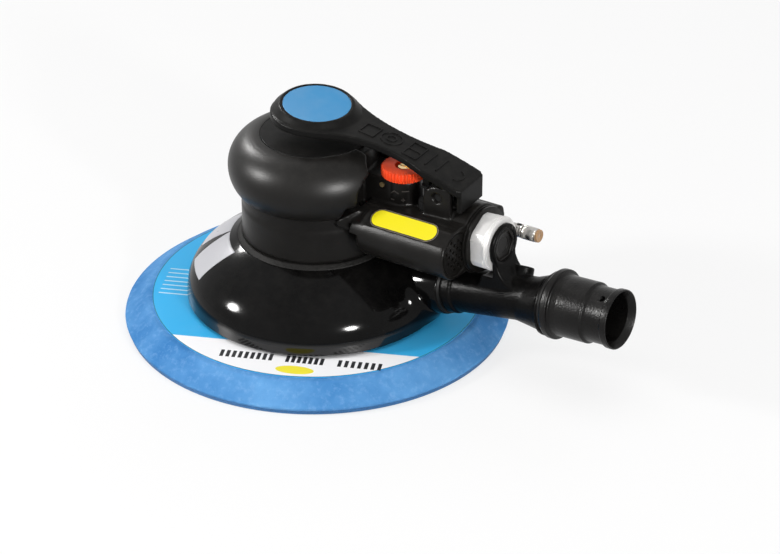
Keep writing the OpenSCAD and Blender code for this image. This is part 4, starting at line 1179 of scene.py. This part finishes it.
def makeGrip():
    g = grip
    bulge = g["radius"] - g["capRadius"]
    foot = math.degrees(math.asin((g["low"] - g["middle"]) / g["lowCurve"]))
    outline = (arcPoints(g["capRadius"], g["middle"], bulge, g["lowCurve"], foot, 0, 30)
               + arcPoints(g["capRadius"], g["middle"], bulge, g["top"] - g["middle"], 3, 90, 36)
               + [(g["capRadius"], g["roof"]), (g["core"], g["roof"]), (g["core"], g["low"])])
    body = lathe("palmGrip", outline, motorPlace, 256)
    under, over, pocket = g["under"], g["over"], g["pocket"]
    back, side = g["step"]
    hollow = g["hollow"]
    tunnel = motorPlace @ shifted(0, layout["lobeY"] + hollow["aside"], hollow["height"]) @ alongX
    for tool in (rod("pocket", pocket, under, over, dialPlace, 128),
                 block("gate", (0, -pocket, under), (g["gate"], pocket, over), dialPlace),
                 block("step", (-back, -side, under), (0, side, over), dialPlace),
                 rod("hollow", hollow["radius"], hollow["start"], hollow["end"], tunnel, 128),
                 block("bay", *g["bay"], blockPlace)):
        cutWith(body, tool)
    remeshed(body, g["voxel"], g["rounds"])
    thinned(body, g["limit"])
    finishPiece(body, "gripRubber", "housing", slots["palm_grip"], "palm_grip")


def makeCap():
    r = grip["capRadius"] - 0.02
    outline = [(0, grip["roof"]), (r, grip["roof"]), (r, grip["top"], 0.2), (0, grip["top"])]
    cap = smoothEdges(lathe("topCap", roundedPath(outline), motorPlace), 50)
    finishPiece(cap, "leverBlack", "housing", slots["top_cap"], "top_cap")


neckRing = {"inner": 26.05, "foot": 30.1, "waist": 29.9, "top": 28.75, "height": 1.45}


def makeNeckRing():
    n, low = neckRing, shroud["top"]
    outline = [(n["inner"], low), (n["foot"], low), (n["waist"], low + 0.35, 0.2),
               (n["top"], low + n["height"], 0.3), (n["inner"], low + n["height"])]
    ring = smoothEdges(lathe("neckRing", roundedPath(outline), motorPlace, 256), 50)
    finishPiece(ring, "bootRubber", "housing", slots["neck_ring"], "neck_ring")


# lever
lever = {"radius": 17.4, "top": 88, "slope": 0.03, "curve": 0.00238, "paddleX": 1.0, "tail": 67.4,
         "steps": 16, "voxel": 0.3, "rounds": 11, "limit": 170000,
         "crown": 0.6, "markWidth": 0.7, "markHeight": 0.4}
badge = {"radius": 12.78, "low": 2.8, "high": 3.5, "tilt": 5.0, "roll": 3.0, "flat": 7, "crown": 0.08}


def leverTop(x):
    return lever["top"] - lever["slope"] * (x + lever["radius"]) - lever["curve"] * max(0.0, x) ** 2


paddlePlace = (leverPlace @ shifted(lever["paddleX"], 0, leverTop(lever["paddleX"]))
               @ turned(badge["tilt"], "Y") @ turned(badge["roll"], "X"))


def makeLever():
    body = weldedCopy("throttle_lever", "throttleLever")
    remeshed(body, lever["voxel"], lever["rounds"])
    start = -lever["radius"] - 1
    step = (lever["tail"] + 1 - start) / lever["steps"]
    back = leverPlace.inverted()
    for vertex in body.data.vertices:
        # lifts the straight steps of the edge onto its true curve
        p = back @ (vertex.co / mm)
        k = min(max(int((p.x - start) / step), 0), lever["steps"] - 1)
        a = start + k * step
        t = (p.x - a) / step
        straight = leverTop(a) * (1 - t) + leverTop(a + step) * t
        vertex.co.z += (leverTop(p.x) - straight) * mm
    thinned(body, lever["limit"])
    finishPiece(body, "leverBlack", "lever", slots["throttle_lever"], "throttle_lever")


def makeBadge():
    r, low, high = badge["radius"], badge["low"], badge["high"]
    outline = [(0, low), (r, low), (r, high - 0.1, 0.1), (r - 0.6, high), (badge["flat"], high + 0.06),
               (0, high + badge["crown"])]
    disc = smoothEdges(lathe("leverBadge", roundedPath(outline), paddlePlace, 128), 40)
    finishPiece(disc, "badgeBlue", "lever", slots["lever_badge"], "lever_badge")


def ridge(path, closed, width, height, surface):
    # a low ridge with sloped sides that follows a path over a surface
    count = len(path)
    points, faces = [], []
    for i, (x, y) in enumerate(path):
        before = path[i - 1] if closed or i > 0 else path[i]
        after = path[(i + 1) % count] if closed or i < count - 1 else path[i]
        along = Vector((after[0] - before[0], after[1] - before[1])).normalized()
        side = Vector((-along.y, along.x))
        for offset, lift in ((-0.5, -0.2), (-0.3, height), (0.3, height), (0.5, -0.2)):
            px, py = x + side.x * offset * width, y + side.y * offset * width
            points.append((px, py, surface(px, py) + lift))
    last = count if closed else count - 1
    for i in range(last):
        a, b = 4 * i, 4 * ((i + 1) % count)
        faces += [(a + k, a + (k + 1) % 4, b + (k + 1) % 4, b + k) for k in range(4)]
    if not closed:
        faces += [(3, 2, 1, 0), tuple(4 * (count - 1) + k for k in range(4))]
    return points, faces


def densePath(points, closed, step=0.6):
    # more points along straight stretches, so that a ridge can follow a curved surface
    path = []
    last = len(points) if closed else len(points) - 1
    for i in range(last):
        a, b = Vector(points[i]), Vector(points[(i + 1) % len(points)])
        pieces = max(1, int((b - a).length / step))
        path += [tuple(a.lerp(b, k / pieces)) for k in range(pieces)]
    if not closed:
        path.append(tuple(points[-1]))
    return path


# plain outlines along the lever: kind, centre and size
leverMarks = [("plate", 24.8, -0.6, 4.3), ("circle", 33.6, 0.0, 4.0), ("box", 43.8, -0.5, 4.7),
              ("bars", 52.8, -0.4, 4.6), ("arc", 60.6, -0.8, 3.6)]


def makeLeverMarks():
    items = []

    def top(x, y):
        return leverTop(x) + lever["crown"]

    def add(points, closed):
        path = densePath(points, closed)
        shape, faces = ridge(path, closed, lever["markWidth"], lever["markHeight"], top)
        item = meshFrom("mark", shape, faces, leverPlace, smooth=False)
        fixNormals(item)
        items.append(item)

    def addBox(x, y, wide, tall):
        add([(x - wide, y - tall), (x + wide, y - tall), (x + wide, y + tall), (x - wide, y + tall)], True)

    for kind, x, y, size in leverMarks:
        if kind == "circle":
            add(arcPoints(x, y, size, size, 0, 350, 35), True)
            add(arcPoints(x, y, size * 0.45, size * 0.45, 0, 345, 23), True)
        elif kind == "box":
            addBox(x, y, size * 0.6, size)
            add([(x - size * 0.6, y), (x + size * 0.6, y)], False)
        elif kind == "bars":
            for shift in (-0.5, 0.5):
                add([(x + shift * size, y - size), (x + shift * size, y + size)], False)
        elif kind == "arc":
            add(arcPoints(x, y, size, size, -70, 70, 18), False)
        else:
            addBox(x, y, size * 0.7, size * 0.8)
    marks = joinMeshes("leverMarks", items)
    finishPiece(marks, "leverBlack", "lever", slots["throttle_lever"])


# dust tube and cuff
tube = {"voxel": 0.4, "rounds": 6, "limit": 180000,
        "walls": [(tubePlace, 8.5, 0.22, (6.0, 27.5)), (tubePlace, 9.3, 0.2, (1.6, 4.9))]}


def makeTube():
    body = weldedCopy("vacuum_tube", "vacuumTube")
    remeshed(body, tube["voxel"], tube["rounds"])
    for wall in tube["walls"]:
        snapRound(body, *wall)
    thinned(body, tube["limit"])
    finishPiece(body, "tubeBlack", "housing", slots["vacuum_tube"], "vacuum_tube")


# radii, then the places where one stretch ends and the next begins
cuff = {"start": 1.1, "flange": 13.1, "body": 11.4, "tip": 10.4, "lip": 11.1, "bore": 9.1, "socket": 9.96,
        "flangeEnd": 2.9, "bodyStart": 6.0, "bodyEnd": 16.3, "tipStart": 18.0, "tipEnd": 24.3,
        "socketDepth": 8.3, "length": 27.2, "mouth": 2.6,
        "notch": {"radius": 1.3, "fromEnd": 4.8, "turn": 25}}


def makeCuff():
    c, end = cuff, cuff["length"]
    place = cuffPlace @ shifted(0, 0, c["start"])
    outline = [(c["socket"], 0, 0.2), (c["flange"] - 0.5, 0, 0.4), (c["flange"], 0.8, 0.5),
               (c["flange"], c["flangeEnd"], 0.6), (c["body"] + 0.25, c["flangeEnd"] + 0.3, 0.5),
               (c["body"], c["bodyStart"], 0.4), (c["body"], c["bodyEnd"], 0.4),
               (c["tip"] + 0.1, c["bodyEnd"] + 0.6, 0.3), (c["tip"], c["tipStart"], 0.4),
               (c["tip"], c["tipEnd"], 0.3), (c["lip"], c["tipEnd"] + 0.6, 0.4), (c["lip"], end - 0.1, 0.3),
               (c["lip"] - 0.5, end, 0.2), (c["bore"], end - c["mouth"], 0.4),
               (c["bore"], c["socketDepth"]), (c["socket"], c["socketDepth"])]
    body = lathe("hoseCuff", roundedPath(outline, 5), place)
    notch = c["notch"]
    across = place @ shifted(0, 0, end - notch["fromEnd"]) @ turned(notch["turn"], "Z") @ turned(-90, "Y")
    cutWith(body, rod("notch", notch["radius"], 0, c["flange"], across, 24))
    smoothEdges(body, 40)
    finishPiece(body, "cuffRubber", "cuff", slots["hose_cuff"], "hose_cuff")


# exhaust, silencer and inlet; a dark floor closes the hexagon recess of the plug, a painted shade where the
# deep bore goes on
plugShadeFloor = {"radius": 3.4, "low": 79.25, "high": 79.55}


def makeExhaust():
    collar = bevelled(weldedCopy("exhaust_collar", "exhaustCollar", True), 0.35)
    finishPiece(collar, "housingBlack", "housing", slots["exhaust_collar"], "exhaust_collar")
    nut = bevelled(weldedCopy("exhaust_nut", "exhaustNut", True), 0.45, 3, 20)
    finishPiece(nut, "nutAlloy", "housing", slots["exhaust_nut"], "exhaust_nut")
    plug = bevelled(weldedCopy("port_plug", "portPlug", True), 0.15)
    # the dark floor stands in for the shade deep in the bore
    floor = rod("floor", plugShadeFloor["radius"], plugShadeFloor["low"], plugShadeFloor["high"], portPlace)
    plug = joinMeshes("portPlug", [plug, floor])
    finishPiece(plug, "housingBlack", "housing", slots["port_plug"], "port_plug")


grille = {"Radius": 7.95, "Thickness": 1.8, "Hole": 1.15, "Pitch X": 2.5, "Pitch Y": 2.35}
grilleSeat = {"depth": 2, "turn": 45}       # how far inside the block's end, and the pattern's turn


def grilleTree():
    # a disc with staggered square holes through it
    build = NodeTree("grilleTree", {"Radius": 8.0, "Thickness": 1.8, "Hole": 1.1, "Pitch X": 2.5,
                                    "Pitch Y": 2.3})
    s = build.start.outputs
    count = 7
    disc = build.add("GeometryNodeMeshCylinder", [("Vertices", 96), ("Radius", s["Radius"]),
                                                  ("Depth", s["Thickness"])])
    wide = build.calc("MULTIPLY", s["Pitch X"], count - 1.0)
    tall = build.calc("MULTIPLY", s["Pitch Y"], count - 1.0)
    grid = build.add("GeometryNodeMeshGrid", [("Size X", wide), ("Size Y", tall), ("Vertices X", count),
                                              ("Vertices Y", count)])
    row = build.calc("ROUND", build.calc("DIVIDE", build.place()[1], s["Pitch Y"]))
    odd = build.calc("ABSOLUTE", build.calc("FLOORED_MODULO", row, 2.0))
    shift = build.calc("MULTIPLY", build.calc("MULTIPLY", odd, s["Pitch X"]), 0.5)
    moved = build.add("GeometryNodeSetPosition", [("Geometry", grid.outputs[0]),
                                                  ("Offset", build.vector(shift))])
    spot = build.add("GeometryNodeInputPosition").outputs[0]
    far = build.add("ShaderNodeVectorMath", [(0, spot)], operation="LENGTH").outputs[1]
    keep = build.calc("LESS_THAN", far, build.calc("SUBTRACT", s["Radius"], s["Hole"]))
    deep = build.calc("MULTIPLY", s["Thickness"], 2.0)
    cube = build.add("GeometryNodeMeshCube", [("Size", build.vector(s["Hole"], s["Hole"], deep))])
    holes = build.add("GeometryNodeInstanceOnPoints", [("Points", moved.outputs[0]), ("Selection", keep),
                                                       ("Instance", cube.outputs[0])])
    real = build.add("GeometryNodeRealizeInstances", [(0, holes.outputs[0])])
    cut = build.add("GeometryNodeMeshBoolean", [("Mesh 1", disc.outputs[0]), ("Mesh 2", real.outputs[0])],
                    operation="DIFFERENCE")
    build.close(cut.outputs[0], "housingBlack")
    return build


def makeGrille():
    middle = layout["blockLength"] - grilleSeat["depth"] + grille["Thickness"] / 2
    place = lobePlace @ shifted(0, 0, middle) @ turned(grilleSeat["turn"], "Z")
    plate = smoothEdges(growTree("exhaustGrille", grilleTree(), grille, place), 30)
    finishPiece(plate, "housingBlack", "housing", slots["exhaust_grille"], "exhaust_grille")


# radii, then places along the inlet; the knurl's and grille's keys are the inputs of their node trees
nipple = {"radius": 2.65, "core": 2.3, "bore": 1.5, "wall": 2.35, "collar": 2.6, "groove": 2.15,
          "shaft": 2.25, "inside": 61.0, "wallStart": 70.9, "wallEnd": 76.3, "collarEnd": 78.6,
          "grooveEnd": 79.1, "shaftStart": 79.8, "knurlStart": 79.9, "end": 85.8, "tip": 86.8,
          "disc": 2.45, "hole": 77.8, "holeRadius": 0.9}
knurl = {"Radius": 2.65, "Bore": 2.15, "Height": 5.4, "Ridges": 36, "Depth": 0.16, "Chamfer": 0.2,
         "Per Ridge": 8}


def makeNipple():
    n, end = nipple, nipple["end"]
    outline = [(n["bore"], n["inside"]), (n["core"], n["inside"], 0.2), (n["core"], n["wallStart"] - 0.1),
               (n["wall"], n["wallStart"], 0.2), (n["wall"], n["wallEnd"], 0.2),
               (n["collar"], n["wallEnd"] + 0.2, 0.1), (n["collar"], n["collarEnd"], 0.1),
               (n["groove"], n["collarEnd"] + 0.1, 0.1), (n["groove"], n["grooveEnd"], 0.1),
               (n["radius"], n["grooveEnd"] + 0.1, 0.1), (n["radius"], n["shaftStart"] - 0.1, 0.1),
               (n["shaft"], n["shaftStart"]), (n["shaft"], end - 0.5),
               (n["collar"], end - 0.4, 0.1), (n["collar"], end, 0.15), (n["bore"], end)]
    body = lathe("inletNipple", roundedPath(outline, 3), nipplePlace, 96)
    across = nipplePlace @ shifted(0, 0, n["hole"]) @ turned(-90, "Y")
    cutWith(body, rod("hole", n["holeRadius"], -6, 6, across, 32))
    smoothEdges(body, 40)
    ridges = ridgedRing("knurl", "chrome", nipplePlace @ shifted(0, 0, n["knurlStart"]), knurl)
    whole = joinMeshes("inletNipple", [body, ridges])
    finishPiece(whole, "chrome", "housing", slots["inlet_nipple"], "inlet_nipple")


def makeNippleDisc():
    n = nipple
    outline = [(0.01, n["end"]), (n["disc"], n["end"]), (n["disc"], n["tip"], 0.3), (0.01, n["tip"])]
    disc = lathe("nippleDisc", roundedPath(outline), nipplePlace, 64)
    finishPiece(disc, "fibreTan", "housing", slots["nipple_disc"], "nipple_disc")


# dial, boss marks and sticker
dial = {"low": 70.3, "web": 1.0, "webRadius": 3.55, "shaft": 3.02}
dialRing = {"Radius": 8.6, "Bore": 3.5, "Height": 3.7, "Ridges": 38, "Depth": 0.75, "Chamfer": 0.45,
            "Per Ridge": 10}


def makeDial():
    place = dialPlace @ shifted(0, 0, dial["low"])
    ring = ridgedRing("ring", "dialOrange", place, dialRing)
    inner, outer, high = dial["shaft"], dial["webRadius"], dial["web"]
    web = lathe("web", [(inner, 0), (outer, 0), (outer, high), (inner, high)], place, 64)
    whole = joinMeshes("speedDial", [ring, web])
    finishPiece(whole, "dialOrange", "dial", slots["speed_dial"], "speed_dial")


# strokes are (along, up) from the middle of the boss's wall: a bent line, a long bar, a plus and a minus
bossMarks = {"radius": 7.0, "angle": -76.0, "level": 64.2, "width": 0.5, "height": 0.3,
             "strokes": [[(-2.6, 0.9), (-1.2, 2.2), (0.6, 1.4)], [(1.8, 2.4), (4.4, 2.4)],
                         [(1.6, -1.2), (3.0, -1.2)], [(2.3, -1.9), (2.3, -0.5)],
                         [(-2.6, -1.6), (-1.2, -1.6)]]}


def makeBossMarks():
    # raised strokes, wrapped round the wall, in a lighter grey that is a painted highlight
    b = bossMarks
    items = []
    for stroke in b["strokes"]:
        path = densePath(stroke, False, 0.4)
        points, faces = ridge(path, False, b["width"], b["height"], lambda x, y: 0.0)
        wrapped = []
        for x, y, z in points:
            a = math.radians(b["angle"]) + x / b["radius"]
            r = b["radius"] + z
            wrapped.append((r * math.cos(a), r * math.sin(a), b["level"] + y))
        item = meshFrom("stroke", wrapped, faces, dialPlace, smooth=False)
        fixNormals(item)
        items.append(item)
    marks = joinMeshes("bossMarks", items)
    finishPiece(marks, "markBlack", "housing", slots["motor_housing"])


oil = {"length": 29.0, "radius": 3.8, "x": 49.4, "y": -11.01, "z": 8.04, "tilt": 30.0, "border": 0.35,
       "rim": 0.2}


def makeOilSticker():
    place = blockPlace @ shifted(oil["x"], oil["y"], oil["z"]) @ turned(oil["tilt"], "X")
    half = oil["length"] / 2 - oil["radius"]

    def layer(name, radius, low, high):
        stadium = (arcPoints(half, 0, radius, radius, -90, 90, 24)
                   + arcPoints(-half, 0, radius, radius, 90, 270, 24))
        return slab(name, stadium, low, high, place)

    parts = [(layer("rim", oil["radius"] + oil["rim"], 0, 0.16), "stickerRim"),
             (layer("border", oil["radius"], 0.05, 0.2), "labelInk"),
             (layer("face", oil["radius"] - oil["border"], 0.1, 0.23), "stickerYellow")]
    whole = joinPainted("oilSticker", parts)
    attach(whole, "housing", slots["oil_sticker"], "oil_sticker")


# finishes of the nodes that keep their shape
nodeFinish = {
    "steel": ["pad_stud", "pad_spindle", "spindle_bearing_lower", "spindle_bearing_upper",
              "bearing_spacer", "rotor_key", "shaft_nut", "lower_bearing", "upper_bearing", "liner_dowel",
              "valve_spring"],
    "darkSteel": ["bearing_clip", "spindle_screw", "cylinder_liner"],
    "castAlloy": ["crankshaft", "rotor", "lower_end_plate", "upper_end_plate", "lock_ring"],
    # the hinge pin takes this dark rubber as painted shade in the ear's hole
    "sealRubber": ["shaft_seal", "tube_seal", "cuff_ring", "nipple_seal", "hinge_pin", "valve_bush",
                   "valve_stem", "valve_poppet", "regulator_seal"],
    "brass": ["regulator_spindle", "stop_pin"],
    "feltTan": ["pad_washer", "muffler_felt"],
    "hookBlue": ["hook_face"],
    "plateGrey": ["pad_plate"],
    "rotorResin": ["rotor_vanes"],
}


def paintNodes():
    for material, nodes in nodeFinish.items():
        for node in nodes:
            paint(frame["nodes"][node], material)


for make, text in ((makeFoam, "foam pad"), (makeLabel, "label"), (makeShroud, "shroud"),
                   (makeShroudStickers, "shroud stickers"), (makeNeckRing, "neck ring"),
                   (makeHousing, "housing"), (makeGrip, "grip"), (makeCap, "cap"), (makeLever, "lever"),
                   (makeBadge, "badge"), (makeLeverMarks, "lever marks"), (makeTube, "dust tube"),
                   (makeCuff, "hose cuff"), (makeExhaust, "exhaust"), (makeGrille, "grille"),
                   (makeNipple, "inlet nipple"), (makeNippleDisc, "nipple disc"), (makeDial, "dial"),
                   (makeBossMarks, "boss marks"), (makeOilSticker, "oil sticker"),
                   (paintNodes, "finish of the other nodes")):
    make()
    print(text, "is done")
